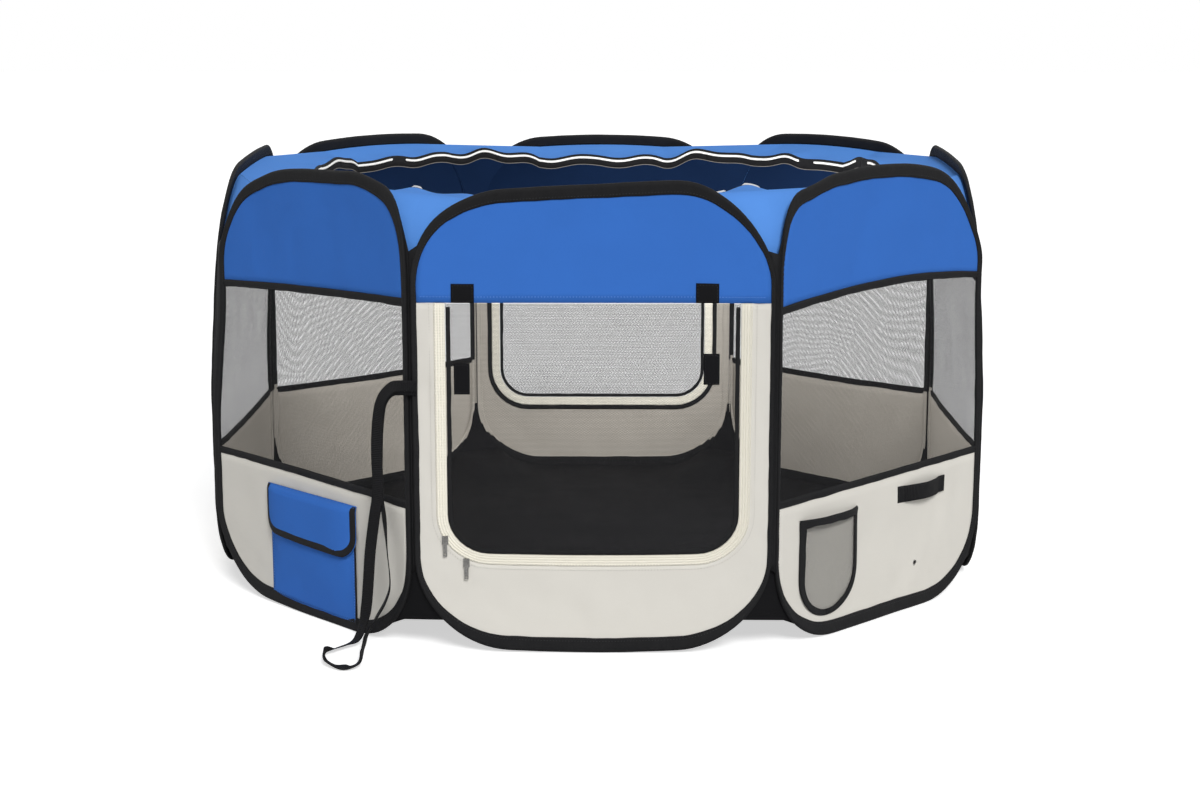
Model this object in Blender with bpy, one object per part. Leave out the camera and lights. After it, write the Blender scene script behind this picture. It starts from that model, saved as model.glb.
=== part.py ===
"""Foldable eight-sided dog playpen: spring-wire hoops bound round fabric panels, two zip doors and a sewn floor.

The frame is +Z up, the front door faces -Y, and the origin is the middle of the floor's underside.
Every panel is drawn in its own coordinates: x along the panel, y inwards, z up, from the panel's foot.
"""

import math

import bmesh
import bpy
from mathutils import Matrix, Vector

# Panels, in metres
WIDE_PANEL = 0.465         # front, right, back and left panels, from seam to seam
NARROW_PANEL = 0.449       # the four panels between them
PEN_HEIGHT = 0.600
CORNER_RADIUS = 0.120      # outer bend of every hoop
SEAM_GAP = 0.003           # from a seam to the tape beside it
CLEARANCE = 0.0003         # between pieces that touch

# Tape bound round each hoop, with a slot that holds the wire and the cloth's edge
TAPE_WIDTH = 0.012
TAPE_THICK = 0.006
LIP_THICK = 0.0042         # the tape's thickness where it pinches the cloth
SLOT_MOUTH = 0.0022
SLOT_DEEP = 0.0038
SLOT_SKIN = 0.0016         # tape left outside the slot
WIRE_DIAMETER = 0.0026
CLOTH = 0.0012             # every fabric and net
STRIP_WIDTH = 0.010        # tape across a panel, over and under its window

# Heights on the panels
WINDOW_TOP = 0.448
WINDOW_FOOT = 0.200
DOOR_HEM = 0.458           # lower edge of the blue band over a door

# Doors in the front and back panels
DOOR_WIDTH = 0.372         # between the two legs of the zip
DOOR_SILL = 0.131
DOOR_RADIUS = 0.052
ZIP_WIDTH = 0.0145
ZIP_THICK = 0.0026
DOOR_GAP = 0.0006          # round the net door, inside the zip
DOOR_HINGE_DROP = 0.0015   # from the band's hem to the door's fold
TAB_SIZE = (0.029, 0.024)
TAB_THICK = 0.0014
TAB_INSETS = (0.022, 0.042)          # centres of the left and right tab, inwards from the zip's legs
PATCH_SIZE = (0.020, 0.040)
PATCH_THICK = 0.0012
PATCH_INSETS = (0.020, 0.036)        # centres of the left and right patch, inwards from the zip's legs
PATCH_DROPS = (0.097, 0.084)         # and below the band's hem

# Zip sliders and their pulls
SLIDER_SIZE = (0.0080, 0.0110, 0.0018)
ARCH_WIDTH = 0.0016
ARCH_THICK = 0.0012
ARCH_POST = 0.0014
ARCH_GAP = 0.0003          # round the pull's bar, under the arch
PULL_SIZE = (0.0052, 0.0250, 0.0010)
PULL_BAR = 0.0010          # round the hole at the pull's top
PULL_EYE = (0.0028, 0.0050)
PULL_END_HOLE = 0.0015     # radius of the hole at the free end
SIDE_SLIDER_RISE = 0.023   # pull of the slider on the front zip's left leg, above the sill
SILL_SLIDER_INSET = 0.023  # slider on the front zip's lower run, from the zip's left leg
BACK_SLIDER_X = 0.060

# Pockets, loop and eyelet
POCKET_CENTRE = 0.010
POCKET_WIDTH = 0.190
POCKET_FOOT = 0.018
POCKET_HEIGHT = 0.150
POCKET_DEPTH = 0.012
POCKET_SEAM = 0.006        # flat edge sewn to the panel
FLAP_HEIGHT = 0.078
FLAP_OVERHANG = 0.005      # how far the flap is wider than the pocket, each side
FLAP_GAP = 0.0006          # between the flap and the pocket
FLAP_SHOULDER = 0.6        # share of its bulge that the flap has halfway down to the pocket's mouth
NET_POCKET_CENTRE = -0.112
NET_POCKET_WIDTH = 0.112
NET_POCKET_FOOT = 0.029
NET_POCKET_HEIGHT = 0.137
NET_POCKET_DEPTH = 0.011
NET_POCKET_TIP = 1 / 3     # width of the round foot's lowest row, as a share of the pocket's
LOOP_CENTRE = (0.085, 0.168)
LOOP_LENGTH = 0.106
LOOP_WIDTH = 0.023
LOOP_BULGE = 0.009
LOOP_SEWN = 0.014          # flat end sewn to the panel
LOOP_ARCH = ((1.0, 0.0), (0.7, 0.65), (0.3, 0.95))   # shares of its half length and of its bulge
WEBBING = 0.0014
EYELET_CENTRE = (0.076, 0.064)
EYELET_HOLE = 0.0018
EYELET_BARREL = 0.0026
EYELET_FLANGE = 0.0052
EYELET_THICK = 0.0007

# Floor and the collar round the top
FLOOR_THICK = 0.0015
COLLAR_WIDTH = 0.085
COLLAR_DROP = 0.022
COLLAR_SEAT = 0.007        # how far below the top of a hoop the collar is sewn
FOLD_HEIGHT = 0.006        # of the waves along the collar's free edge
FOLDS_PER_RUN = 2          # waves beside each panel, and across each corner

# Carrying strap, sewn by both ends beside the front left seam. Its points run from the foot of that seam.
STRAP_WIDTH = 0.015
UP = Vector((0.0, 0.0, 1.0))
AWAY = Vector((-1.0, 1.0, 0.0)).normalized()   # from the seam, along the front left panel
STRAP_ROUTE = (
    (0.0090, -0.0042, 0.352, UP), (-0.0005, -0.0043, 0.352, UP), (-0.0115, -0.0029, 0.352, UP),
    (-0.0245, 0.0038, 0.347, UP + AWAY), (-0.0365, 0.0115, 0.331, AWAY), (-0.0437, 0.0198, 0.303, AWAY),
    (-0.0467, 0.0238, 0.263, AWAY), (-0.0462, 0.0233, 0.210, AWAY), (-0.0530, 0.0285, 0.169, AWAY),
    (-0.0615, 0.0365, 0.126, AWAY), (-0.0685, 0.0430, 0.083, AWAY), (-0.0760, 0.0485, 0.050, AWAY),
    (-0.0845, 0.0470, 0.024, UP + AWAY), (-0.1005, 0.0360, 0.009, UP), (-0.1135, 0.0180, 0.0079, UP),
    (-0.1175, -0.0100, 0.0079, UP), (-0.1095, -0.0430, 0.0079, UP), (-0.0915, -0.0700, 0.0079, UP),
    (-0.0715, -0.0750, 0.0079, UP), (-0.0615, -0.0550, 0.0079, UP), (-0.0615, -0.0250, 0.0080, UP),
    (-0.0635, 0.0040, 0.0100, UP), (-0.0600, 0.0210, 0.020, UP + AWAY), (-0.0475, 0.0190, 0.042, AWAY),
    (-0.0385, 0.0145, 0.075, AWAY), (-0.0343, 0.0112, 0.118, AWAY), (-0.0370, 0.0115, 0.158, AWAY),
    (-0.0388, 0.0120, 0.211, AWAY), (-0.0364, 0.0099, 0.264, AWAY), (-0.0320, 0.0057, 0.305, AWAY),
    (-0.0234, -0.0027, 0.328, UP + AWAY), (-0.0121, -0.0072, 0.335, UP), (-0.0005, -0.0066, 0.337, UP),
    (0.0090, -0.0066, 0.337, UP),
)

# Triangles between two sections of the strap: both broad sides fold along the same diagonal where it twists
STRAP_SKIN = ((3, 0, 7), (0, 4, 7), (1, 2, 6), (1, 6, 5), (0, 1, 5), (0, 5, 4), (2, 3, 7), (2, 7, 6))

# Fineness of the curved shapes
CORNER_STEPS = 7
DOOR_STEPS = 5
WIRE_SIDES = 6
GUSSET_STEPS = 6
STRAP_STEPS = 3
ROUND_SIDES = 14
POCKET_GRID = (10, 6)
FOLD_POINTS = 5            # columns of the collar in one wave
COLLAR_ROWS = 2

# Colours and finishes
CREAM = ((0.73, 0.70, 0.63), 0.85, 0.0)
BLUE = ((0.045, 0.17, 0.56), 0.75, 0.0)
BLACK = ((0.016, 0.016, 0.018), 0.85, 0.0)
NET = ((0.42, 0.42, 0.42), 0.80, 0.0)
ZIP = ((0.86, 0.82, 0.70), 0.70, 0.0)
SILVER = ((0.60, 0.59, 0.57), 0.30, 1.0)
STEEL = ((0.35, 0.35, 0.36), 0.40, 1.0)

PANELS = ("front", "front_right", "right", "back_right", "back", "back_left", "left", "front_left")
FRONT, FRONT_RIGHT, BACK, FRONT_LEFT = 0, 1, 4, 7
TURN = math.tau / len(PANELS)
WINDOW_PANELS = (1, 2, 3, 5, 6, 7)
DOOR_PANELS = (FRONT, BACK)

SLOT_HALF = TAPE_THICK / 2
WIRE_CENTRE = SLOT_SKIN + CLEARANCE + WIRE_DIAMETER / 2
CLOTH_SEAT = WIRE_CENTRE + WIRE_DIAMETER / 2 + 2 * CLEARANCE
FACE = CLOTH / 2 + CLEARANCE              # where a piece sewn on a panel begins
TIP_INSET = SLOT_HALF + 2 * CLEARANCE     # a folding seam turns just inside the panels' inner faces
DOOR_TOP = DOOR_HEM - DOOR_HINGE_DROP
PULL_AXIS_Y = -(ZIP_THICK / 2 + CLEARANCE + SLIDER_SIZE[2] + ARCH_GAP + PULL_SIZE[2] / 2)
SIDE_SLIDER_X = -(DOOR_WIDTH + SLIDER_SIZE[0]) / 2
SILL_SLIDER_X = SILL_SLIDER_INSET - DOOR_WIDTH / 2
SILL_SLIDER_Z = DOOR_SILL - ZIP_WIDTH / 2


def panel_width(k):
    """Seam to seam width of panel k."""
    return NARROW_PANEL if k % 2 else WIDE_PANEL


def panel_distance(k):
    """Distance of panel k from the middle of the pen."""
    return (panel_width(k) + math.sqrt(2) * panel_width(k + 1)) / 2


def panel_place(k):
    """World placement of panel k's own coordinates."""
    return Matrix.Rotation(k * TURN, 4, "Z") @ Matrix.Translation((0, -panel_distance(k), 0))


def seam_axis(k):
    """Place of the hinge line between panel k and the next one, in panel k's own coordinates."""
    if k % 2:
        return Vector((panel_width(k) / 2 - TIP_INSET * math.tan(TURN / 2), TIP_INSET, 0))
    return Vector((panel_width(k) / 2, 0, 0))


def clear_scene():
    """Remove every object, so that the model starts empty."""
    for item in list(bpy.data.objects):
        bpy.data.objects.remove(item, do_unlink=True)


def make_material(name, finish):
    """Principled material from a colour, a roughness and a metallic value."""
    colour, roughness, metallic = finish
    material = bpy.data.materials.new(name)
    material.use_nodes = True
    shader = material.node_tree.nodes["Principled BSDF"]
    shader.inputs["Base Color"].default_value = (*colour, 1.0)
    shader.inputs["Roughness"].default_value = roughness
    shader.inputs["Metallic"].default_value = metallic
    return material


def make_bodies():
    """Empties on the hinge lines, each the parent of what turns about it, and their world placements."""
    frames = {"front": panel_place(FRONT)}
    parents = {"front": None}
    for k in range(FRONT_RIGHT, BACK + 1):
        frames[PANELS[k]] = panel_place(k) @ Matrix.Translation(hinge_beside(k, k - 1))
        parents[PANELS[k]] = PANELS[k - 1]
    for k in range(FRONT_LEFT, BACK, -1):
        frames[PANELS[k]] = panel_place(k) @ Matrix.Translation(seam_axis(k))
        parents[PANELS[k]] = PANELS[(k + 1) % len(PANELS)]
    for door, k in (("front_door", FRONT), ("back_door", BACK)):
        frames[door] = panel_place(k) @ Matrix.Translation((0, 0, DOOR_TOP))
        parents[door] = PANELS[k]
    flap_top = (POCKET_CENTRE, -FACE - CLOTH / 2, POCKET_FOOT + POCKET_HEIGHT + POCKET_SEAM)
    frames["pocket_flap"] = panel_place(FRONT_LEFT) @ Matrix.Translation(flap_top)
    parents["pocket_flap"] = "front_left"
    for name, k, x, z in slider_places():
        frames[name + "_slider"] = panel_place(k) @ Matrix.Translation((x, PULL_AXIS_Y, z))
        frames[name + "_pull"] = frames[name + "_slider"].copy()
        parents[name + "_slider"] = PANELS[k]
        parents[name + "_pull"] = name + "_slider"
    empties = {}
    for name, frame in frames.items():
        empty = bpy.data.objects.new("body_" + name, None)
        bpy.context.collection.objects.link(empty)
        parent = parents[name]
        if parent:
            empty.parent = empties[parent]
            empty.matrix_local = frames[parent].inverted() @ frame
        else:
            empty.matrix_local = frame
        empties[name] = empty
    return frames, empties


def hinge_beside(k, neighbour):
    """The hinge line of the neighbour's seam, in panel k's own coordinates."""
    return panel_place(k).inverted() @ panel_place(neighbour) @ seam_axis(neighbour)


def slider_places():
    """Name, panel, x and z of each zip slider's pull axis."""
    return (
        ("side", FRONT, SIDE_SLIDER_X, DOOR_SILL + SIDE_SLIDER_RISE),
        ("sill", FRONT, SILL_SLIDER_X, SILL_SLIDER_Z),
        ("back", BACK, BACK_SLIDER_X, SILL_SLIDER_Z),
    )


class Builder:
    """Adds named pieces under the empties of their bodies."""

    def __init__(self):
        self.frames, self.empties = make_bodies()
        self.materials = {}

    def add(self, name, mesh_data, body, place, finish):
        """One piece: its mesh, the body that carries it, its world placement and its finish."""
        piece = bpy.data.objects.new(name, mesh_data)
        bpy.context.collection.objects.link(piece)
        piece.parent = self.empties[body]
        piece.matrix_local = self.frames[body].inverted() @ place
        label = finish[0]
        if label not in self.materials:
            self.materials[label] = make_material(label, finish[1])
        mesh_data.materials.append(self.materials[label])
        return piece

    def cutter(self, name, mesh_data, piece, operation):
        """A hidden shape, placed as the piece is, that is joined to it or cut from it."""
        shape = bpy.data.objects.new(name, mesh_data)
        bpy.context.collection.objects.link(shape)
        shape.parent = piece
        shape.hide_render = True
        shape.display_type = "WIRE"
        modifier = piece.modifiers.new(name, "BOOLEAN")
        modifier.object = shape
        modifier.operation = operation
        modifier.solver = "EXACT"


def finish_mesh(name, bm, smooth=False):
    """Turn a bmesh into mesh data with its faces pointing out."""
    bmesh.ops.recalc_face_normals(bm, faces=bm.faces)
    data = bpy.data.meshes.new(name)
    bm.to_mesh(data)
    bm.free()
    if smooth:
        data.shade_smooth()
        data.set_sharp_from_angle(angle=math.radians(40))
    return data


def arc(centre, radius, start, end, steps):
    """Points of an arc in the x, z plane, angles in degrees from +x."""
    points = []
    for i in range(steps + 1):
        angle = math.radians(start + (end - start) * i / steps)
        points.append((centre[0] + radius * math.cos(angle), centre[1] + radius * math.sin(angle)))
    return points


def hoop_outline(width, inset):
    """A hoop's closed line, inset from its outer edge, anticlockwise from the lower left corner."""
    half = width / 2 - SEAM_GAP - CORNER_RADIUS
    low = CORNER_RADIUS
    high = PEN_HEIGHT - CORNER_RADIUS
    radius = CORNER_RADIUS - inset
    points = []
    for x, z, start in ((-half, low, 180), (half, low, 270), (half, high, 0), (-half, high, 90)):
        points += arc((x, z), radius, start, start + 90, CORNER_STEPS)
    return points


def clip(points, height, keep_above):
    """The part of a closed outline on one side of a level line."""
    kept = []
    for i, end in enumerate(points):
        start = points[i - 1]
        start_in = (start[1] > height) == keep_above
        end_in = (end[1] > height) == keep_above
        if start_in != end_in:
            share = (height - start[1]) / (end[1] - start[1])
            kept.append((start[0] + (end[0] - start[0]) * share, height))
        if end_in:
            kept.append(end)
    return kept


def slice_outline(points, low, high):
    """The part of a closed outline between two heights."""
    return clip(clip(points, low, True), high, False)


def plate(name, outline, near, far):
    """A flat plate: an outline in x, z between two depths."""
    bm = bmesh.new()
    front = [bm.verts.new((x, near, z)) for x, z in outline]
    back = [bm.verts.new((x, far, z)) for x, z in outline]
    bm.faces.new(front)
    bm.faces.new(reversed(back))
    for i in range(len(outline)):
        bm.faces.new((front[i - 1], front[i], back[i], back[i - 1]))
    return finish_mesh(name, bm)


def rings_to_mesh(name, rings, closed, smooth=False):
    """Join rings of points that have equal counts; an open run of rings gets flat ends."""
    bm = bmesh.new()
    rows = [[bm.verts.new(point) for point in ring] for ring in rings]
    count = len(rows[0])
    spans = range(len(rows)) if closed else range(1, len(rows))
    for i in spans:
        for j in range(count):
            bm.faces.new((rows[i - 1][j - 1], rows[i - 1][j], rows[i][j], rows[i][j - 1]))
    if not closed:
        bm.faces.new(rows[0])
        bm.faces.new(reversed(rows[-1]))
    return finish_mesh(name, bm, smooth)


def sheet_between(name, front, back):
    """A thin closed solid between two grids of points with equal rows and columns."""
    bm = bmesh.new()
    rows, columns = len(front), len(front[0])
    near = [[bm.verts.new(point) for point in row] for row in front]
    far = [[bm.verts.new(point) for point in row] for row in back]
    for i in range(1, rows):
        for j in range(1, columns):
            bm.faces.new((near[i - 1][j - 1], near[i - 1][j], near[i][j], near[i][j - 1]))
            bm.faces.new((far[i - 1][j - 1], far[i][j - 1], far[i][j], far[i - 1][j]))
    rim = [(0, j) for j in range(columns)] + [(i, columns - 1) for i in range(1, rows)]
    rim += [(rows - 1, j) for j in range(columns - 2, -1, -1)] + [(i, 0) for i in range(rows - 2, 0, -1)]
    for a, b in zip(rim, rim[1:] + rim[:1]):
        bm.faces.new((near[a[0]][a[1]], near[b[0]][b[1]], far[b[0]][b[1]], far[a[0]][a[1]]))
    return finish_mesh(name, bm)


def build_hoop(builder, k):
    """The spring wire of panel k and the tape bound round it."""
    name, place, width = PANELS[k], panel_place(k), panel_width(k)
    sides = []
    for i in range(WIRE_SIDES):
        angle = math.tau * i / WIRE_SIDES
        inset = WIRE_CENTRE + WIRE_DIAMETER / 2 * math.cos(angle)
        depth = WIRE_DIAMETER / 2 * math.sin(angle)
        sides.append([(x, depth, z) for x, z in hoop_outline(width, inset)])
    wire = rings_to_mesh("hoop_wire_" + name, sides, closed=True, smooth=True)
    builder.add("hoop_wire_" + name, wire, name, place, ("spring steel", STEEL))

    profile = (
        (0, -SLOT_HALF), (TAPE_WIDTH, -LIP_THICK / 2), (TAPE_WIDTH, -SLOT_MOUTH / 2), (SLOT_SKIN, -SLOT_DEEP / 2),
        (SLOT_SKIN, SLOT_DEEP / 2), (TAPE_WIDTH, SLOT_MOUTH / 2), (TAPE_WIDTH, LIP_THICK / 2), (0, SLOT_HALF),
    )
    rings = [[(x, depth, z) for x, z in hoop_outline(width, inset)] for inset, depth in profile]
    tape = rings_to_mesh("hoop_binding_" + name, rings, closed=True)
    binding = builder.add("hoop_binding_" + name, tape, name, place, ("black tape", BLACK))
    if k in WINDOW_PANELS:
        for label, middle in (("top", WINDOW_TOP), ("foot", WINDOW_FOOT)):
            low, high = middle - STRIP_WIDTH / 2, middle + STRIP_WIDTH / 2
            outline = slice_outline(hoop_outline(width, CLOTH_SEAT), low, high)
            strip = plate("strip", outline, -LIP_THICK / 2, LIP_THICK / 2)
            builder.cutter("window_" + label + "_strip_" + name, strip, binding, "UNION")


def cloth_plate(name, k, low, high):
    """Cloth that fills panel k's hoop between two heights."""
    outline = slice_outline(hoop_outline(panel_width(k), CLOTH_SEAT), low, high)
    return plate(name, outline, -CLOTH / 2, CLOTH / 2)


def build_window_panel(builder, k):
    """Blue band, net window and cream lower panel of a panel without a door."""
    name, place = PANELS[k], panel_place(k)
    edge = STRIP_WIDTH / 2 + CLEARANCE
    band = cloth_plate("top_band_" + name, k, WINDOW_TOP + edge, PEN_HEIGHT)
    net = cloth_plate("window_mesh_" + name, k, WINDOW_FOOT + edge, WINDOW_TOP - edge)
    lower = cloth_plate("lower_panel_" + name, k, 0, WINDOW_FOOT - edge)
    builder.add(band.name, band, name, place, ("blue cloth", BLUE))
    builder.add(net.name, net, name, place, ("net", NET))
    panel = builder.add(lower.name, lower, name, place, ("cream cloth", CREAM))
    if k == FRONT_RIGHT:
        outline = arc(EYELET_CENTRE, EYELET_BARREL + CLEARANCE, 0, 360, ROUND_SIDES)[:-1]
        builder.cutter("eyelet_hole", plate("hole", outline, -CLOTH, CLOTH), panel, "DIFFERENCE")


def door_line(inset, top):
    """The U line of a door, inset from the zip's inner edge, from the top left down and round to the top right."""
    radius = DOOR_RADIUS - inset
    half = DOOR_WIDTH / 2 - DOOR_RADIUS
    centre = DOOR_SILL + DOOR_RADIUS
    line = [(-half - radius, top)]
    line += arc((-half, centre), radius, 180, 270, DOOR_STEPS)
    line += arc((half, centre), radius, 270, 360, DOOR_STEPS)
    return line + [(half + radius, top)]


def build_door_panel(builder, k):
    """Blue band, cream surround, zip and net door of the front or back panel."""
    name, place = PANELS[k], panel_place(k)
    top = DOOR_HEM - CLEARANCE
    band = cloth_plate("top_band_" + name, k, DOOR_HEM, PEN_HEIGHT)
    builder.add(band.name, band, name, place, ("blue cloth", BLUE))

    outline = slice_outline(hoop_outline(panel_width(k), CLOTH_SEAT), 0, top)
    corner = max(range(len(outline)), key=lambda i: (outline[i][1], outline[i][0]))
    outer = outline[corner + 1:] + outline[:corner + 1]
    surround = plate("door_surround_" + name, outer + door_line(-ZIP_WIDTH - CLEARANCE, top)[::-1],
                     -CLOTH / 2, CLOTH / 2)
    builder.add(surround.name, surround, name, place, ("cream cloth", CREAM))

    inner_line, outer_line = door_line(0, top), door_line(-ZIP_WIDTH, top)
    corners = ((inner_line, -1), (outer_line, -1), (outer_line, 1), (inner_line, 1))
    sections = [[(line[i][0], side * ZIP_THICK / 2, line[i][1]) for line, side in corners]
                for i in range(len(inner_line))]
    tape = rings_to_mesh("door_zip_" + name, sections, closed=False)
    builder.add(tape.name, tape, name, place, ("zip tape", ZIP))

    net = plate("door_mesh_" + name, door_line(DOOR_GAP, DOOR_TOP), -CLOTH / 2, CLOTH / 2)
    builder.add(net.name, net, name + "_door", place, ("net", NET))


def rectangle(centre, size):
    """Outline of an upright rectangle in x, z."""
    x, z = centre
    width, height = size[0] / 2, size[1] / 2
    return [(x - width, z - height), (x + width, z - height), (x + width, z + height), (x - width, z + height)]


def build_tabs(builder):
    """Hook-and-loop tabs on the front band's hem and the patches on the door that they hold when it is rolled."""
    place = panel_place(FRONT)
    for i, (side, outwards) in enumerate((("left", -1), ("right", 1))):
        x = outwards * (DOOR_WIDTH / 2 - TAB_INSETS[i])
        outline = rectangle((x, DOOR_HEM + TAB_SIZE[1] / 2), TAB_SIZE)
        tab = plate("door_tab_" + side, outline, -FACE - TAB_THICK, -FACE)
        builder.add(tab.name, tab, "front", place, ("black tape", BLACK))
        x = outwards * (DOOR_WIDTH / 2 - PATCH_INSETS[i])
        outline = rectangle((x, DOOR_HEM - PATCH_DROPS[i]), PATCH_SIZE)
        patch = plate("door_patch_" + side, outline, -FACE - PATCH_THICK, -FACE)
        builder.add(patch.name, patch, "front_door", place, ("black tape", BLACK))


def build_slider(builder, name, k, x, z):
    """A zip slider with its arch, and the pull that hangs from the arch. Their origin is the pull's axis."""
    place = panel_place(k) @ Matrix.Translation((x, PULL_AXIS_Y, z))
    width, height, thick = SLIDER_SIZE
    back = PULL_SIZE[2] / 2 + ARCH_GAP                 # slider's face, inwards from the pull's axis
    turning = PULL_BAR * math.sqrt(2) / 2 + ARCH_GAP   # room for the bar to turn in
    arch_top = turning + ARCH_POST
    arch_low = -PULL_EYE[1] / 2 - ARCH_POST
    outline = [(-width / 2, arch_top - height), (width / 2, arch_top - height),
               (width / 2, arch_top), (-width / 2, arch_top)]
    body = builder.add("zip_slider_" + name, plate("slider", outline, back, back + thick),
                       name + "_slider", place, ("silver metal", SILVER))
    crown = -PULL_SIZE[2] / 2 - ARCH_GAP - ARCH_THICK
    side = ((back + thick / 2, arch_low), (crown, arch_low), (crown, arch_top), (back + thick / 2, arch_top),
            (back + thick / 2, turning), (crown + ARCH_THICK, turning),
            (crown + ARCH_THICK, arch_low + ARCH_POST), (back + thick / 2, arch_low + ARCH_POST))
    half = ARCH_WIDTH / 2
    arch = rings_to_mesh("arch", [[(-half, y, up) for y, up in side], [(half, y, up) for y, up in side]], False)
    builder.cutter("zip_arch_" + name, arch, body, "UNION")

    pull_width, pull_length, pull_thick = PULL_SIZE
    top = PULL_BAR / 2
    outline = rectangle((0, top - pull_length / 2), (pull_width, pull_length))
    pull = builder.add("zip_pull_" + name, plate("pull", outline, -pull_thick / 2, pull_thick / 2),
                       name + "_pull", place, ("silver metal", SILVER))
    eye = rectangle((0, -top - PULL_EYE[1] / 2), PULL_EYE)
    builder.cutter("zip_pull_eye_" + name, plate("eye", eye, -pull_thick, pull_thick), pull, "DIFFERENCE")
    end = (0, top - pull_length + pull_width / 2)
    hole = arc(end, PULL_END_HOLE, 0, 360, ROUND_SIDES)[:-1]
    builder.cutter("zip_pull_hole_" + name, plate("hole", hole, -pull_thick, pull_thick), pull, "DIFFERENCE")


def bulged_pocket(name, centre, width, foot, height, depth, round_foot):
    """A pocket's front sheet, sewn flat along its sides and foot and standing off the panel at its mouth."""
    columns, rows = POCKET_GRID
    radius = width / 2
    outer, inner = [], []
    for i in range(rows + 1):
        z = foot + height * (i / rows)
        half = width / 2
        if round_foot and z < foot + radius:
            half = math.sqrt(max(radius ** 2 - (foot + radius - z) ** 2, (radius * NET_POCKET_TIP) ** 2))
        rise = math.sin(math.pi / 2 * i / rows)
        outer_row, inner_row = [], []
        for j in range(columns + 1):
            across = 2 * j / columns - 1
            x = centre + half * across
            seam = 1 - POCKET_SEAM / half
            swell = math.cos(math.pi / 2 * min(abs(across) / seam, 1)) * rise * (depth - CLOTH)
            inner_row.append((x, -FACE - swell, z))
            outer_row.append((x, -FACE - swell - CLOTH, z))
        outer.append(outer_row)
        inner.append(inner_row)
    return sheet_between(name, outer, inner)


def build_pocket(builder):
    """Blue pocket on the front left panel and the flap over its mouth."""
    place = panel_place(FRONT_LEFT)
    bag = bulged_pocket("pocket_bag", POCKET_CENTRE, POCKET_WIDTH, POCKET_FOOT, POCKET_HEIGHT, POCKET_DEPTH, False)
    builder.add("pocket_bag", bag, "front_left", place, ("blue cloth", BLUE))

    mouth = POCKET_FOOT + POCKET_HEIGHT
    top = mouth + POCKET_SEAM
    columns = POCKET_GRID[0]
    clear = FLAP_GAP + CLOTH
    heights = [(top, 0.0), (mouth + POCKET_SEAM / 2, FLAP_SHOULDER), (mouth, 1.0), (top - FLAP_HEIGHT / 2, 1.0),
               (top - FLAP_HEIGHT, 1.0)]
    outer, inner = [], []
    for z, share in heights:
        outer_row, inner_row = [], []
        for j in range(columns + 1):
            across = 2 * j / columns - 1
            x = POCKET_CENTRE + (POCKET_WIDTH / 2 + FLAP_OVERHANG) * across
            swell = math.cos(math.pi / 2 * across) * (POCKET_DEPTH - CLOTH) + clear
            inner_row.append((x, -FACE - swell * share, z))
            outer_row.append((x, -FACE - swell * share - CLOTH, z))
        outer.append(outer_row)
        inner.append(inner_row)
    flap = sheet_between("pocket_flap", outer, inner)
    builder.add("pocket_flap", flap, "pocket_flap", place, ("blue cloth", BLUE))


def build_front_right_fittings(builder):
    """Net pocket, webbing loop and eyelet on the front right panel."""
    place = panel_place(FRONT_RIGHT)
    net = bulged_pocket("net_pocket", NET_POCKET_CENTRE, NET_POCKET_WIDTH, NET_POCKET_FOOT, NET_POCKET_HEIGHT,
                        NET_POCKET_DEPTH, True)
    builder.add("net_pocket", net, "front_right", place, ("net", NET))

    x, z = LOOP_CENTRE
    half = LOOP_LENGTH / 2
    rise = half - LOOP_SEWN
    line = [(half, 0)] + [(rise * along, lift) for along, lift in LOOP_ARCH]
    line = [(-along, lift) for along, lift in line] + line[::-1]
    outer = [[(x + along, -FACE - WEBBING - LOOP_BULGE * lift, z + side * LOOP_WIDTH / 2) for side in (-1, 1)]
             for along, lift in line]
    inner = [[(x + along, -FACE - LOOP_BULGE * lift, z + side * LOOP_WIDTH / 2) for side in (-1, 1)]
             for along, lift in line]
    builder.add("webbing_loop", sheet_between("webbing_loop", outer, inner), "front_right", place,
                ("black tape", BLACK))

    top = FACE + EYELET_THICK
    section = ((EYELET_HOLE, -top), (EYELET_FLANGE, -top), (EYELET_FLANGE, -FACE), (EYELET_BARREL, -FACE),
               (EYELET_BARREL, FACE), (EYELET_FLANGE, FACE), (EYELET_FLANGE, top), (EYELET_HOLE, top))
    rings = []
    for i in range(ROUND_SIDES):
        angle = math.tau * i / ROUND_SIDES
        rings.append([(EYELET_CENTRE[0] + r * math.cos(angle), y, EYELET_CENTRE[1] + r * math.sin(angle))
                      for r, y in section])
    builder.add("eyelet", rings_to_mesh("eyelet", rings, closed=True), "front_right", place,
                ("silver metal", SILVER))


def corner_rungs(k, inset, low):
    """Pairs of points on the bends of panels k and k + 1 beside their seam, from the level run to the seam."""
    depth = SLOT_HALF + CLEARANCE
    radius = CORNER_RADIUS - inset
    following = (k + 1) % len(PANELS)
    rungs = []
    for i in range(GUSSET_STEPS + 1):
        angle = math.pi / 2 * i / GUSSET_STEPS
        rise = CORNER_RADIUS - radius * math.cos(angle)
        z = rise if low else PEN_HEIGHT - rise
        pair = []
        for panel, side in ((k, 1), (following, -1)):
            half = panel_width(panel) / 2 - SEAM_GAP - CORNER_RADIUS
            pair.append(panel_place(panel) @ Vector((side * (half + radius * math.sin(angle)), depth, z)))
        rungs.append(pair)
    return rungs


def thicken(name, bm, thickness, builder, body, finish):
    """Add a one-sided sheet as a piece that grows inwards by its thickness."""
    data = bpy.data.meshes.new(name)
    bm.to_mesh(data)
    bm.free()
    piece = builder.add(name, data, body, Matrix.Identity(4), finish)
    solid = piece.modifiers.new("thickness", "SOLIDIFY")
    solid.thickness = thickness
    solid.offset = -1
    solid.use_even_offset = True


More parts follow.
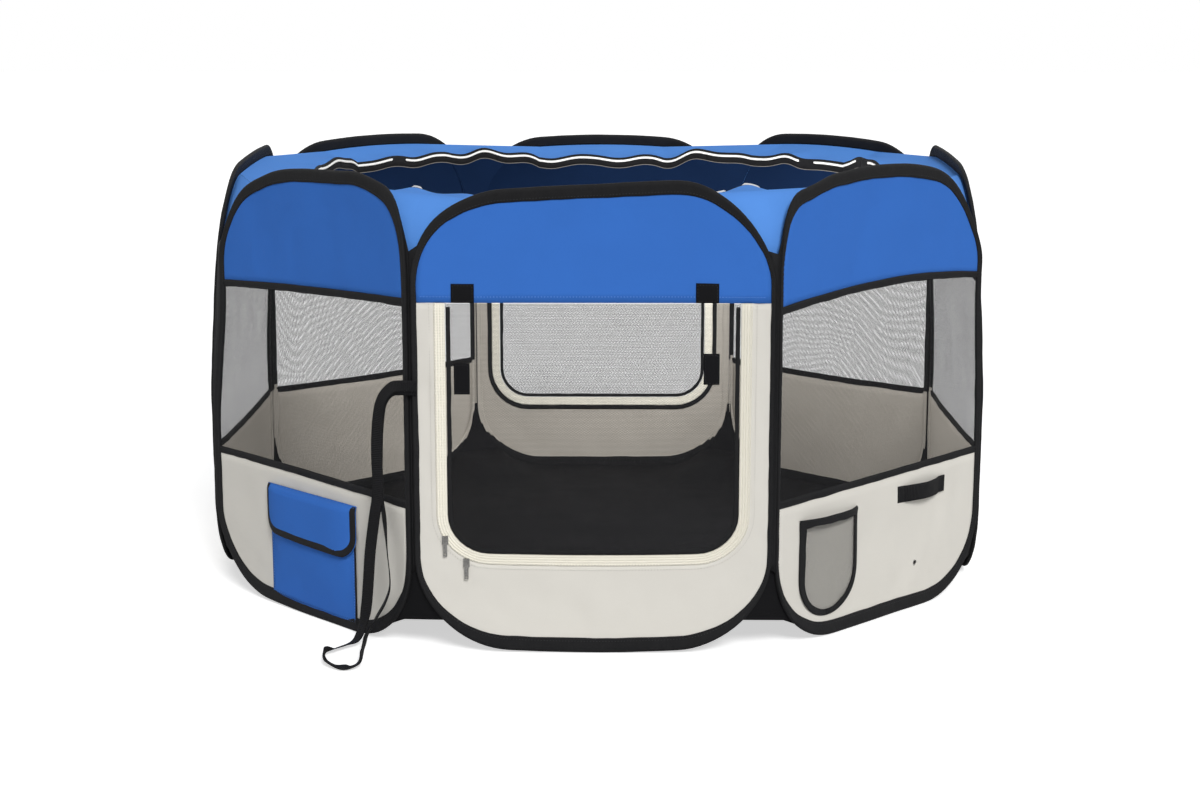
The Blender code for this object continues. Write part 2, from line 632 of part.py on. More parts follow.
def build_floor(builder):
    """Floor sheet with a gusset at each corner, up between the bends of the hoops to the seam."""
    bm = bmesh.new()
    rim = []
    for k in range(len(PANELS)):
        rows = [[bm.verts.new(point) for point in pair] for pair in corner_rungs(k, 0.0, low=True)]
        for lower, upper in zip(rows, rows[1:]):
            bm.faces.new((lower[0], lower[1], upper[1], upper[0]))
        rim += rows[0]
    bm.faces.new(reversed(rim))
    thicken("floor_sheet", bm, FLOOR_THICK, builder, "front", ("black cloth", BLACK))


def collar_column(bm, outer, inner, turn):
    """Vertices from the collar's sewn edge to its free edge, which waves as the fold's turn goes round."""
    column = []
    for i in range(COLLAR_ROWS + 1):
        share = i / COLLAR_ROWS
        wave = FOLD_HEIGHT * math.sin(math.tau * turn) * share ** 2
        column.append(bm.verts.new(outer.lerp(inner, share) + Vector((0, 0, wave))))
    return column


def build_collar(builder):
    """Collar round the top: a drooping ring with waves, and a gusset down to the seam at each corner."""
    bm = bmesh.new()
    count = len(PANELS)
    gussets = [corner_rungs(k, COLLAR_SEAT, low=False) for k in range(count)]
    shifts = [panel_place(k).to_3x3() @ Vector((0, COLLAR_WIDTH, -COLLAR_DROP)) for k in range(count)]
    steps = FOLDS_PER_RUN * FOLD_POINTS
    columns = []
    for k in range(count):
        left, right, corner = gussets[k - 1][0][1], gussets[k][0][0], gussets[k][0][1]
        beside = (left, left + shifts[k], right, right + shifts[k])
        across = (right, right + shifts[k], corner, corner + shifts[(k + 1) % count])
        for start, start_free, end, end_free in (beside, across):
            for i in range(steps):
                share = i / steps
                columns.append(collar_column(bm, start.lerp(end, share), start_free.lerp(end_free, share),
                                             FOLDS_PER_RUN * share))
    for i, column in enumerate(columns):
        before = columns[i - 1]
        for j in range(COLLAR_ROWS):
            bm.faces.new((before[j], column[j], column[j + 1], before[j + 1]))
    for k, rungs in enumerate(gussets):
        first = (2 * k + 1) * steps
        edge = [columns[(first + i) % len(columns)][0] for i in range(steps + 1)]
        rows = [[bm.verts.new(point) for point in pair] for pair in rungs[1:]]
        bm.faces.new(edge[::-1] + rows[0])
        for lower, upper in zip(rows, rows[1:]):
            bm.faces.new((lower[1], lower[0], upper[0], upper[1]))
    thicken("top_collar", bm, CLOTH, builder, "front", ("blue cloth", BLUE))


def smooth_route(route, steps):
    """Points and width directions along a smooth curve through a route's own points."""
    points = [Vector(entry[:3]) for entry in route]
    widths = [entry[3].normalized() for entry in route]
    padded = [2 * points[0] - points[1]] + points + [2 * points[-1] - points[-2]]
    result = []
    for i in range(len(points) - 1):
        before, start, end, after = padded[i:i + 4]
        for step in range(steps):
            t = step / steps
            point = 0.5 * (2 * start + (end - before) * t + (2 * before - 5 * start + 4 * end - after) * t ** 2
                           + (3 * start - before - 3 * end + after) * t ** 3)
            result.append((point, widths[i].lerp(widths[i + 1], t)))
    result.append((points[-1], widths[-1]))
    return result


def build_strap(builder):
    """The carrying strap: flat webbing that hangs beside the seam, with its loop lying on edge on the ground."""
    foot = panel_place(FRONT) @ Vector((-panel_width(FRONT) / 2, 0, 0))
    line = smooth_route(STRAP_ROUTE, STRAP_STEPS)
    last = len(line) - 1
    rings = []
    for i, (point, width) in enumerate(line):
        tangent = (line[min(i + 1, last)][0] - line[max(i - 1, 0)][0]).normalized()
        across = (width - width.dot(tangent) * tangent).normalized() * STRAP_WIDTH / 2
        through = tangent.cross(across).normalized() * WEBBING / 2
        middle = foot + point
        rings.append([middle + across + through, middle + across - through, middle - across - through,
                      middle - across + through])
    bm = bmesh.new()
    rows = [[bm.verts.new(corner) for corner in ring] for ring in rings]
    for near, far in zip(rows, rows[1:]):
        corners = near + far
        for a, b, c in STRAP_SKIN:
            bm.faces.new((corners[a], corners[b], corners[c]))
    bm.faces.new(rows[0])
    bm.faces.new(reversed(rows[-1]))
    builder.add("carry_strap", finish_mesh("carry_strap", bm), "front", Matrix.Identity(4), ("black tape", BLACK))


def main():
    """Build the pen."""
    clear_scene()
    builder = Builder()
    for k in range(len(PANELS)):
        build_hoop(builder, k)
        if k in DOOR_PANELS:
            build_door_panel(builder, k)
        else:
            build_window_panel(builder, k)
    build_tabs(builder)
    for name, k, x, z in slider_places():
        build_slider(builder, name, k, x, z)
    build_pocket(builder)
    build_front_right_fittings(builder)
    build_floor(builder)
    build_collar(builder)
    build_strap(builder)


main()
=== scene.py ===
"""Looks of the foldable dog playpen: cloth, nets, tape, zips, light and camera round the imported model.

Every panel has its own coordinates, as in the part's source: x along it, y inwards, z up, in metres.
"""

import math
from itertools import accumulate

import bpy
from mathutils import Matrix, Vector, noise


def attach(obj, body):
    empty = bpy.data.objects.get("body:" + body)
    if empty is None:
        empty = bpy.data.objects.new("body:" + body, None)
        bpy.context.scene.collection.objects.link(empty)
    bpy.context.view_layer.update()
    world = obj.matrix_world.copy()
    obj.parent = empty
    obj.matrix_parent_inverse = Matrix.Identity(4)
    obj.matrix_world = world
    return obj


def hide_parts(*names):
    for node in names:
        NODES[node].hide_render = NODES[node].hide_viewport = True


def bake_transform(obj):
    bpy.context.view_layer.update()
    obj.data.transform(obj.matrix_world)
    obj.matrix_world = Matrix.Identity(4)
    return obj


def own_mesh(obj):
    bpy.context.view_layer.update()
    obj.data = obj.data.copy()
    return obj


# The part's own sizes
WIDE_PANEL = 0.465
NARROW_PANEL = 0.449
PEN_HEIGHT = 0.600
CORNER_RADIUS = 0.120
SEAM_GAP = 0.003
TAPE_THICK = 0.006
WIRE = 0.0026
CLOTH = 0.0012
FACE = CLOTH / 2 + 0.0003  # from a panel's middle to what is sewn on it
STRIP_WIDTH = 0.010
WINDOW_TOP = 0.448
WINDOW_FOOT = 0.200
DOOR_HEM = 0.458
DOOR_WIDTH = 0.372
DOOR_SILL = 0.131
DOOR_RADIUS = 0.052
DOOR_TOP = 0.4565
ZIP_WIDTH = 0.0145
COLLAR_WIDTH = 0.085
COLLAR_DROP = 0.014
COLLAR_SEAT = 0.018
FOLD_HEIGHT = 0.006        # of the waves along the collar's free edge
FOLDS_PER_RUN = 2
TAB_SIZE = (0.029, 0.024)
TAB_THICK = 0.0014
TAB_INSETS = (0.022, 0.042)
EYELET_CENTRE = (0.076, 0.064)
EYELET_HOLE = 0.0034
EYELET_RING = (0.0043, 0.0010, 0.0015)   # middle radius, half width and half depth of the metal ring
PATCH_SIZE = (0.020, 0.040)
PATCH_THICK = 0.0012
PATCH_INSETS = (0.020, 0.036)
PATCH_DROPS = (0.097, 0.084)
POCKET_CENTRE = 0.010
POCKET_WIDTH = 0.190
POCKET_FOOT = 0.0125
POCKET_HEIGHT = 0.1555
POCKET_LEAN = -0.030       # the pocket and flap are sewn a little lower on the right
POCKET_DEPTH = 0.012
POCKET_SEAM = 0.006
FLAP_HEIGHT = 0.070
FLAP_OVERHANG = 0.005
FLAP_GAP = 0.0006
NET_POCKET_CENTRE = -0.116
NET_POCKET_WIDTH = 0.119
NET_POCKET_FOOT = 0.029
NET_POCKET_HEIGHT = 0.137
NET_POCKET_DEPTH = 0.011
LOOP_CENTRE = (0.085, 0.168)
LOOP_LENGTH = 0.106
LOOP_WIDTH = 0.023
LOOP_BULGE = 0.009
LOOP_SEWN = 0.014
TIP_INSET = 0.0036         # a folding seam turns this far inside the panels
WEBBING = 0.0014

# Thicknesses and widths of the cloth and trim here
FABRIC = 0.0010
DOOR_BAND = 0.0012
NET_THICK = 0.00010
STRIP_THICK = 0.0040
PIPING = (0.0055, 0.0030)  # black piping round the door
ZIP_PIPING = (0.0147, 0.0222)   # from the zip's inner edge to the edges of the piping round it
ZIP_PIPING_THICK = 0.0024
EDGE = 0.0044              # from a hoop's outer edge to the cloth under its tape
LINE_STEP = 0.010          # between the points along a tape
STITCH_LENGTH = 0.0026
STITCH_PITCH = 0.0040
STITCH_THICK = 0.0004

# The carrying strap's points from the foot of the front left seam, and the way its width lies
STRAP_WIDTH = 0.015
UP = Vector((0.0, 0.0, 1.0))
AWAY = Vector((-1.0, 1.0, 0.0)).normalized()
SQUARE = Vector((-0.95, 0.30, 0.0))      # shows the camera the whole width
EDGEWAYS = Vector((-0.15, 0.99, 0.0))    # shows it the edge
STRAP_ROUTE = (
    (0.0090, -0.0062, 0.352, UP), (-0.0005, -0.0063, 0.352, UP), (-0.0115, -0.0049, 0.352, UP),
    (-0.0245, 0.0030, 0.348, UP + AWAY), (-0.0375, 0.0105, 0.331, AWAY + SQUARE),
    (-0.0437, 0.0190, 0.303, SQUARE), (-0.0467, 0.0230, 0.263, SQUARE),
    (-0.0462, 0.0225, 0.210, SQUARE), (-0.0525, 0.0275, 0.169, SQUARE),
    (-0.0590, 0.0335, 0.126, SQUARE), (-0.0630, 0.0375, 0.083, SQUARE),
    (-0.0665, 0.0400, 0.050, SQUARE), (-0.0720, 0.0370, 0.023, AWAY),
    (-0.0800, 0.0270, 0.0062, Vector((-0.68, 0.62, -0.20))),
    (-0.0950, 0.0110, 0.0038, Vector((-0.66, 0.56, -0.33))),
    (-0.1080, -0.0080, 0.0044, Vector((-0.78, 0.47, -0.42))), (-0.1125, -0.0330, 0.0082, -UP),
    (-0.1020, -0.0600, 0.0044, Vector((0.39, 0.57, -0.33))),
    (-0.0820, -0.0720, 0.0026, Vector((0.05, 0.99, 0.10))),
    (-0.0680, -0.0660, 0.0038, Vector((-0.50, 0.66, -0.26))), (-0.0640, -0.0430, 0.0080, -UP),
    (-0.0650, -0.0180, 0.0082, -UP), (-0.0660, 0.0060, 0.0105, -UP),
    (-0.0620, 0.0190, 0.0215, Vector((-0.1, 0.7, -0.7))), (-0.0510, 0.0230, 0.040, EDGEWAYS),
    (-0.0380, 0.0150, 0.064, EDGEWAYS), (-0.0312, 0.0097, 0.089, EDGEWAYS),
    (-0.0343, 0.0123, 0.131, EDGEWAYS), (-0.0385, 0.0195, 0.178, EDGEWAYS + 0.4 * SQUARE),
    (-0.0450, 0.0268, 0.211, EDGEWAYS + SQUARE), (-0.0462, 0.0275, 0.263, SQUARE),
    (-0.0432, 0.0235, 0.303, SQUARE), (-0.0370, 0.0150, 0.329, AWAY + SQUARE),
    (-0.0245, 0.0060, 0.344, UP + AWAY), (-0.0115, -0.0027, 0.3475, UP),
    (-0.0005, -0.0043, 0.3475, UP), (0.0090, -0.0042, 0.3475, UP),
)

PANELS = ("front", "front_right", "right", "back_right", "back", "back_left", "left", "front_left")
COUNT = len(PANELS)
FRONT, FRONT_RIGHT, RIGHT, BACK_RIGHT, BACK, BACK_LEFT, LEFT, FRONT_LEFT = range(COUNT)
TURN = math.tau / COUNT
WINDOW_PANELS = (FRONT_RIGHT, RIGHT, BACK_RIGHT, BACK_LEFT, LEFT, FRONT_LEFT)
DOOR_PANELS = (FRONT, BACK)
FACES = (("out", -1), ("in", 1))

# How the sprung hoops and the tapes between them bow: metres added, from the left to the right end
HOOP_BOW = {FRONT: (0.010, 0.0005, 0.001, 0.0045, 0.007, 0.0103, 0.0115, 0.0025, -0.010),
            FRONT_LEFT: (-0.040, -0.017, -0.0055, 0.009, 0.0147, 0.016, 0.018, 0.029, 0.075),
            FRONT_RIGHT: (0.078, 0.0225, 0.0160, 0.021, 0.0215, 0.0185, 0.0085, -0.010, -0.045),
            RIGHT: (-0.010, 0.012, 0.015), LEFT: (0.015, 0.012, -0.010),
            BACK_RIGHT: (-0.006, 0.016, 0.003), BACK_LEFT: (0.003, 0.016, -0.006),
            BACK: (-0.010, 0.008, -0.010)}
HOOP_LEAN = {RIGHT: 0.022, LEFT: 0.026}   # inwards at the top
LEAN_FOOT = 0.28           # height at which the lean begins
SIDE_SHIFT = {FRONT_LEFT: (0.028, 0.0), FRONT_RIGHT: (0.0, 0.010)}   # of the sides, to the middle
SHIFT_RISE = (0.24, 0.44)  # heights between which the sides move over
# Lift of the left and right lower corners
FOOT_LIFT = {FRONT_LEFT: (0.018, 0.0), LEFT: (0.0, 0.018), FRONT: (0.013, 0.015)}
FOOT_TOP = 0.22            # height at which the lift has faded out
PRESSED = ("left", "right")   # leaning panels, whose pieces go through press
TOP_STRIP_BOW = {FRONT_LEFT: (-0.003, 0.006, 0.009), FRONT_RIGHT: (-0.002, 0.016, 0.009)}
FOOT_STRIP_BOW = {FRONT_LEFT: (0.003, 0.001, -0.006), FRONT_RIGHT: (-0.005, 0.000, 0.006)}
OTHER_TOP_BOW = (-0.002, 0.005, -0.002)
OTHER_FOOT_BOW = (0.001, -0.003, 0.001)


def panel_width(k):
    """Seam to seam width of panel k."""
    return NARROW_PANEL if k % 2 else WIDE_PANEL


def panel_distance(k):
    """Distance of panel k from the middle of the pen."""
    return (panel_width(k) + math.sqrt(2) * panel_width(k + 1)) / 2


PLACES = [Matrix.Rotation(k * TURN, 4, "Z") @ Matrix.Translation((0, -panel_distance(k), 0))
          for k in range(COUNT)]


def smooth(share):
    """Ease from 0 to 1 between shares 0 and 1."""
    share = min(max(share, 0.0), 1.0)
    return share * share * (3 - 2 * share)


def shares(count):
    """Even shares from 0 to 1, in count steps."""
    return [i / count for i in range(count + 1)]


def ease_up(share):
    """Rows that crowd towards the top."""
    return math.sin(math.pi / 2 * share)


def ease_down(share):
    """Rows that crowd towards the foot."""
    return 1 - math.cos(math.pi / 2 * share)


def spline(before, start, end, after, t):
    """The value a share t of the way from start to end, on the smooth curve through all four."""
    return 0.5 * (2 * start + (end - before) * t + (2 * before - 5 * start + 4 * end - after) * t ** 2
                  + (3 * start - before - 3 * end + after) * t ** 3)


def through(values, share):
    """The smooth curve through evenly spaced values, at a share from -1 to 1."""
    if len(values) == 3:
        left, middle, right = values
        return middle + (right - left) / 2 * share + ((right + left) / 2 - middle) * share ** 2
    place = (share + 1) / 2 * (len(values) - 1)
    i = min(int(place), len(values) - 2)
    padded = (2 * values[0] - values[1],) + tuple(values) + (2 * values[-1] - values[-2],)
    return spline(*padded[i:i + 4], place - i)


def ripple(x, z, size, seed):
    """Soft noise from about -1 to 1 whose waves are about size across."""
    return noise.noise(Vector((x / size, z / size, seed * 7.3)))


def across_share(k, x):
    """Where x lies across panel k, from -1 at its left seam to 1 at its right one."""
    return min(max(2 * x / panel_width(k), -1.0), 1.0)


def bow(k, x, z):
    """How much higher a point of panel k stands because its hoop bows."""
    share = across_share(k, x)
    rise = smooth((z - WINDOW_TOP) / (PEN_HEIGHT - WINDOW_TOP))
    left, right = FOOT_LIFT.get(k, (0.0, 0.0))
    lift = (left * max(-share, 0.0) ** 2 + right * max(share, 0.0) ** 2) * smooth(1 - z / FOOT_TOP)
    return through(HOOP_BOW[k], share) * rise + lift


def sway(k, x, z):
    """How far a point of panel k moves along it, as the sprung sides draw in, and inwards by its lean."""
    share = across_share(k, x)
    left, right = SIDE_SHIFT.get(k, (0.0, 0.0))
    grown = smooth((z - SHIFT_RISE[0]) / (SHIFT_RISE[1] - SHIFT_RISE[0]))
    risen = min(max((z - LEAN_FOOT) / (PEN_HEIGHT - LEAN_FOOT), 0.0), 1.0)
    return (grown * (left * max(-share, 0.0) ** 1.5 - right * max(share, 0.0) ** 1.5),
            HOOP_LEAN.get(k, 0.0) * risen ** 1.3)


def on_panel(k, x, y, z):
    """World place of a point given in panel k's coordinates."""
    over, inwards = sway(k, x, z)
    return PLACES[k] @ Vector((x + over, y + inwards, z + bow(k, x, z)))


def seam_point(k, x, y, z):
    """World place of a point on the seam after panel k, which moves by the mean of its two panels."""
    following = (k + 1) % COUNT
    moved = Vector((0.0, 0.0, 0.0))
    for panel, side in ((k, 1), (following, -1)):
        edge = side * panel_width(panel) / 2
        moved += (on_panel(panel, edge, 0.0, z) - PLACES[panel] @ Vector((edge, 0.0, z))) / 2
    return PLACES[k] @ Vector((x, y, z)) + moved


# Lines in a panel's plane

def between(start, end, part, whole=1):
    """The point that lies part of the whole way from start to end."""
    return start[0] + (end[0] - start[0]) * part / whole, start[1] + (end[1] - start[1]) * part / whole


def arc(centre, radius, start, end, steps):
    """Points of an arc, angles in degrees from +x, without its last point."""
    points = []
    for i in range(steps):
        angle = math.radians(start + (end - start) * i / steps)
        points.append((centre[0] + radius * math.cos(angle), centre[1] + radius * math.sin(angle)))
    return points


def hoop_line(k, inset):
    """A hoop's closed line, inset from its edge, anticlockwise from the lower left, evenly spaced."""
    half = panel_width(k) / 2 - SEAM_GAP - CORNER_RADIUS
    low, high = CORNER_RADIUS, PEN_HEIGHT - CORNER_RADIUS
    radius = CORNER_RADIUS - inset
    points = []
    corners = ((-half, low, 180), (half, low, 270), (half, high, 0), (-half, high, 90))
    for (x, z, start), (after_x, after_z, _) in zip(corners, corners[1:] + corners[:1]):
        points += arc((x, z), radius, start, start + 90, round(CORNER_RADIUS * math.pi / 2 / LINE_STEP))
        angle = math.radians(start + 90)
        over, up = radius * math.cos(angle), radius * math.sin(angle)
        first, last = (x + over, z + up), (after_x + over, after_z + up)
        steps = round(math.dist(first, last) / LINE_STEP)
        points += [between(first, last, j, steps) for j in range(steps)]
    return points


def u_line(half, foot, radius, top, centre=0.0, step=LINE_STEP):
    """An open U, from the top left down and round to the top right."""
    leg = round((top - foot) / step)
    bend = max(round(radius / step * 1.5), 6)
    across = max(round(2 * half / step), 2)
    low = foot + radius
    points = [(centre - half, top + (low - top) * i / leg) for i in range(leg)]
    points += arc((centre - half + radius, low), radius, 180, 270, bend)
    run = half - radius
    points += [(centre - run + 2 * run * i / across, foot) for i in range(across)]
    points += arc((centre + run, low), radius, 270, 360, bend)
    return points + [(centre + half, low + (top - low) * i / leg) for i in range(leg + 1)]


def offset_line(line, inwards, closed):
    """A line moved to its left by inwards."""
    moved = []
    last = len(line) - 1
    for i, (x, z) in enumerate(line):
        before = line[i - 1] if closed or i > 0 else line[0]
        after = line[(i + 1) % len(line)] if closed or i < last else line[last]
        along = Vector((after[0] - before[0], after[1] - before[1])).normalized()
        moved.append((x - along.y * inwards, z + along.x * inwards))
    return moved


def with_left(line, closed):
    """Each point of a line, with the direction to its left."""
    inner = offset_line(line, 1.0, closed)
    return [(x, z, Vector((inner_x - x, inner_z - z))) for (x, z), (inner_x, inner_z) in zip(line, inner)]


def door_line(outwards, top):
    """The door's U line, set outwards from the zip's inner edge."""
    line = offset_line(u_line(DOOR_WIDTH / 2, DOOR_SILL, DOOR_RADIUS, DOOR_TOP), -outwards, False)
    line[0], line[-1] = (line[0][0], top), (line[-1][0], top)
    return line


def lengths(line, closed=False):
    """Distance along a line at each point, and once more at its start where it is closed."""
    points = line + line[:1] if closed else line
    return list(accumulate((math.dist(start, end) for start, end in zip(points, points[1:])), initial=0.0))


def hoop_half(k, z, inset):
    """Half the width inside panel k's hoop at height z, inset from the hoop's outer edge."""
    straight = panel_width(k) / 2 - SEAM_GAP - CORNER_RADIUS
    over = max(CORNER_RADIUS - z, z - (PEN_HEIGHT - CORNER_RADIUS), 0)
    return straight + math.sqrt(max((CORNER_RADIUS - inset) ** 2 - over ** 2, 0))


def round_foot_half(half, foot, radius, z):
    """Half the width at height z of a shape with straight sides and two round lower corners."""
    over = max(foot + radius - z, 0)
    return half - radius + math.sqrt(max(radius ** 2 - over ** 2, 0))


# Materials

WHITE = (1.0, 1.0, 1.0, 1.0)
CREAM = ((0.800, 0.775, 0.715), (0.750, 0.725, 0.665))
# Greige for the inner faces: a lining colour, darker than the cream partly as painted shade of the pen's
# inside
GREIGE_AND_PAINTED_SHADE = ((0.520, 0.485, 0.430), (0.460, 0.425, 0.372))
NET_BLACK = (0.016, 0.016, 0.017)
NET_PITCH = 0.0018


class Nodes:
    """Short names for building a tree of shader nodes."""

    def __init__(self, tree):
        self.tree = tree

    def add(self, kind, inputs=None, output=0, **settings):
        """An output of a new node whose inputs are values or other nodes' outputs."""
        node = self.tree.nodes.new("ShaderNode" + kind)
        for name, value in settings.items():
            setattr(node, name, value)
        self.set(node, inputs or {})
        return node.outputs[output]

    def set(self, node, inputs):
        """Link outputs to a node's inputs, or set the inputs' values."""
        for name, value in inputs.items():
            if isinstance(value, bpy.types.NodeSocket):
                self.tree.links.new(value, node.inputs[name])
            else:
                node.inputs[name].default_value = value

    def shade(self, **inputs):
        """Set the principled shader's inputs, named with low lines for spaces."""
        shader = self.tree.nodes["Principled BSDF"]
        self.set(shader, {name.replace("_", " "): value for name, value in inputs.items()})
        return shader.outputs[0]

    def math(self, operation, first, second=0.0):
        """A math node of two inputs."""
        return self.add("Math", {0: first, 1: second}, operation=operation)

    def sum(self, *terms):
        """The sum of outputs, each times its factor."""
        total, *others = [self.math("MULTIPLY", output, factor) for output, factor in terms]
        for other in others:
            total = self.math("ADD", total, other)
        return total

    def vector_math(self, operation, first, second):
        """The value of a vector math node of two inputs."""
        return self.add("VectorMath", {0: first, 1: second}, "Value", operation=operation)

    def mix(self, factor, first, second):
        """A mix of two colours."""
        inputs = {"Factor": factor, "A": (*first, 1.0), "B": (*second, 1.0)}
        return self.add("Mix", inputs, "Result", data_type="RGBA")

    def noise(self, vector, scale, detail=3.0):
        """Noise at a scale in waves for each metre."""
        return self.add("TexNoise", {"Vector": vector, "Scale": scale, "Detail": detail})

    def waves(self, place, axis, pitch):
        """Sine waves along an axis."""
        along = self.add("SeparateXYZ", {0: place}, axis)
        return self.math("SINE", self.math("MULTIPLY", along, math.tau / pitch))

    def bump(self, height, strength):
        """The normal of a surface with a height in metres."""
        return self.add("Bump", {"Height": height, "Strength": strength, "Distance": 1.0})

    def span(self, value, low, high, **limits):
        """A value stretched from low to high."""
        inputs = {name.replace("_", " "): limit for name, limit in limits.items()}
        return self.add("MapRange", {"Value": value, "To Min": low, "To Max": high, **inputs})


def new_material(name, **inputs):
    """A principled material, its node helper, and the place in the piece's weave."""
    material = bpy.data.materials.new(name)
    material.use_nodes = True
    nodes = Nodes(material.node_tree)
    nodes.shade(**inputs)
    return material, nodes, nodes.add("UVMap", uv_map="weave")


def cloth_material(name, light, dark, pitch=0.0011, depth=0.00012, crease=0.0012, hole=None):
    """Woven cloth: crossing threads, cloudy colour and small creases, with a round hole if it has one."""
    material, nodes, place = new_material(name, Specular_IOR_Level=0.12)
    if hole:
        apart = nodes.vector_math("DISTANCE", place, (*EYELET_CENTRE, 0.0))
        nodes.shade(Alpha=nodes.math("GREATER_THAN", apart, hole))
    threads = nodes.math("MULTIPLY", nodes.waves(place, 0, pitch), nodes.waves(place, 1, pitch))
    clouds = nodes.noise(place, 14.0)
    tone = nodes.sum((clouds, 0.7), (nodes.noise(place, 420.0, 2.0), 0.3), (threads, 0.12))
    height = nodes.sum((threads, depth), (nodes.noise(place, 38.0, 4.0), crease))
    nodes.shade(Base_Color=nodes.mix(tone, dark, light), Normal=nodes.bump(height, 0.7),
                Roughness=nodes.span(clouds, 0.72, 0.92))
    return material


def tape_material(name, light, dark, rib=0.0016, depth=0.0003, roughness=0.68):
    """Ribbed binding tape or webbing, whose ribs run across it."""
    material, nodes, place = new_material(name, Roughness=roughness, Specular_IOR_Level=0.18)
    ribs = nodes.waves(place, 0, rib)
    tone = nodes.sum((nodes.noise(place, 60.0), 0.8), (ribs, 0.12))
    height = nodes.sum((ribs, depth), (nodes.noise(place, 130.0), 0.0016))
    nodes.shade(Base_Color=nodes.mix(tone, dark, light), Normal=nodes.bump(height, 0.6))
    return material


def net_material(name, cover):
    """Knitted net, cut out where three waves that cross at 60 degrees rise together to six-sided holes."""
    material, nodes, place = new_material(name, Roughness=0.75, Specular_IOR_Level=0.1)
    level = None
    for i in range(3):
        angle = math.tau * i / 3 + math.pi / 2
        along = Vector((math.cos(angle), math.sin(angle), 0)) * math.tau / (NET_PITCH * math.sqrt(3) / 2)
        wave = nodes.math("COSINE", nodes.vector_math("DOT_PRODUCT", place, along))
        level = nodes.math("ADD", level, wave) if i else wave
    light = tuple(min(1.0, c * 1.5 + 0.004) for c in NET_BLACK)
    nodes.shade(Alpha=nodes.span(level, 1.0, 0.0, From_Min=cover - 0.2, From_Max=cover + 0.2),
                Base_Color=nodes.mix(nodes.noise(place, 25.0), NET_BLACK, light))
    return material


def metal_material(name, colour):
    """Worn plated metal."""
    material, nodes, _ = new_material(name, Metallic=1.0, Specular_IOR_Level=0.5)
    grain = nodes.noise(nodes.add("TexCoord", output="Object"), 520.0)
    dark = tuple(c * 0.30 for c in colour)
    nodes.shade(Base_Color=nodes.mix(grain, dark, colour), Roughness=nodes.span(grain, 0.18, 0.48))
    return material


def make_materials():
    """All materials, by the name that the pieces use."""
    return {
        "blue": cloth_material("blue oxford cloth", (0.047, 0.186, 0.640), (0.040, 0.162, 0.570)),
        # navy for the inner faces of the blue cloth: painted shade of the pen's inside, much darker than the
        # blue
        "lining": cloth_material("navy lining with painted shade", (0.011, 0.029, 0.085), (0.008, 0.021, 0.062)),
        # the collar's lighter blue: a lighter cloth, with painted light and sheen of its up-facing top added
        "light blue": cloth_material("light blue collar cloth with painted top light", (0.120, 0.345, 0.900),
                                     (0.105, 0.305, 0.820)),
        "cream": cloth_material("cream oxford cloth", *CREAM),
        "punched cream": cloth_material("cream oxford cloth with an eyelet hole", *CREAM,
                                        hole=EYELET_HOLE),
        # greige inner faces: darker than the cream partly as painted shade
        "greige": cloth_material("greige lining, partly painted shade", *GREIGE_AND_PAINTED_SHADE),
        "punched greige": cloth_material("greige lining, partly painted shade, with an eyelet hole", *GREIGE_AND_PAINTED_SHADE,
                                         hole=EYELET_HOLE),
        "floor": cloth_material("black floor cloth", (0.009, 0.009, 0.010), (0.005, 0.005, 0.006),
                                crease=0.002),
        "net": net_material("black window net", -0.86),
        "pocket net": net_material("black pocket net", -0.88),
        "tape": tape_material("black binding tape", (0.014, 0.014, 0.015), (0.007, 0.007, 0.008)),
        "webbing": tape_material("black webbing", (0.009, 0.009, 0.010), (0.004, 0.004, 0.005),
                                 rib=0.0024, depth=0.0006),
        "hook": cloth_material("black hook tape", (0.012, 0.012, 0.014), (0.005, 0.005, 0.006),
                               pitch=0.0016, depth=0.0006),
        "zip": tape_material("cream zip tape", (1.000, 0.965, 0.850), (0.955, 0.910, 0.775),
                             rib=0.0020, roughness=0.7),
        "coil": tape_material("white zip coil", (0.980, 0.975, 0.960), (0.900, 0.890, 0.870),
                              rib=0.0022, depth=0.0006, roughness=0.5),
        "cream thread": tape_material("cream thread", (0.620, 0.600, 0.550), (0.520, 0.500, 0.450),
                                      roughness=0.7),
        "blue thread": tape_material("blue thread", (0.200, 0.420, 0.950), (0.150, 0.340, 0.850),
                                     roughness=0.7),
        "grey thread": tape_material("grey overlock thread", (0.240, 0.225, 0.205), (0.170, 0.160, 0.145)),
        "black thread": tape_material("black thread", (0.050, 0.050, 0.052), (0.030, 0.030, 0.032),
                                      roughness=0.6),
        "silver": metal_material("silver zip metal", (0.480, 0.470, 0.450)),
        "steel": metal_material("spring steel", (0.400, 0.400, 0.410)),
    }


# Meshes

def add_object(name, data):
    """A new object in the scene."""
    item = bpy.data.objects.new(name, data)
    bpy.context.scene.collection.objects.link(item)
    return item


def new_piece(name, vertices, faces, corners, material):
    """A smooth mesh object with a weave coordinate at each corner of its faces."""
    mesh = bpy.data.meshes.new(name)
    mesh.from_pydata(vertices, [], faces)
    layer = mesh.uv_layers.new(name="weave")
    layer.data.foreach_set("uv", [value for pair in corners for value in pair])
    mesh.shade_smooth()
    mesh.materials.append(MATERIALS[material])
    return add_object(name, mesh)


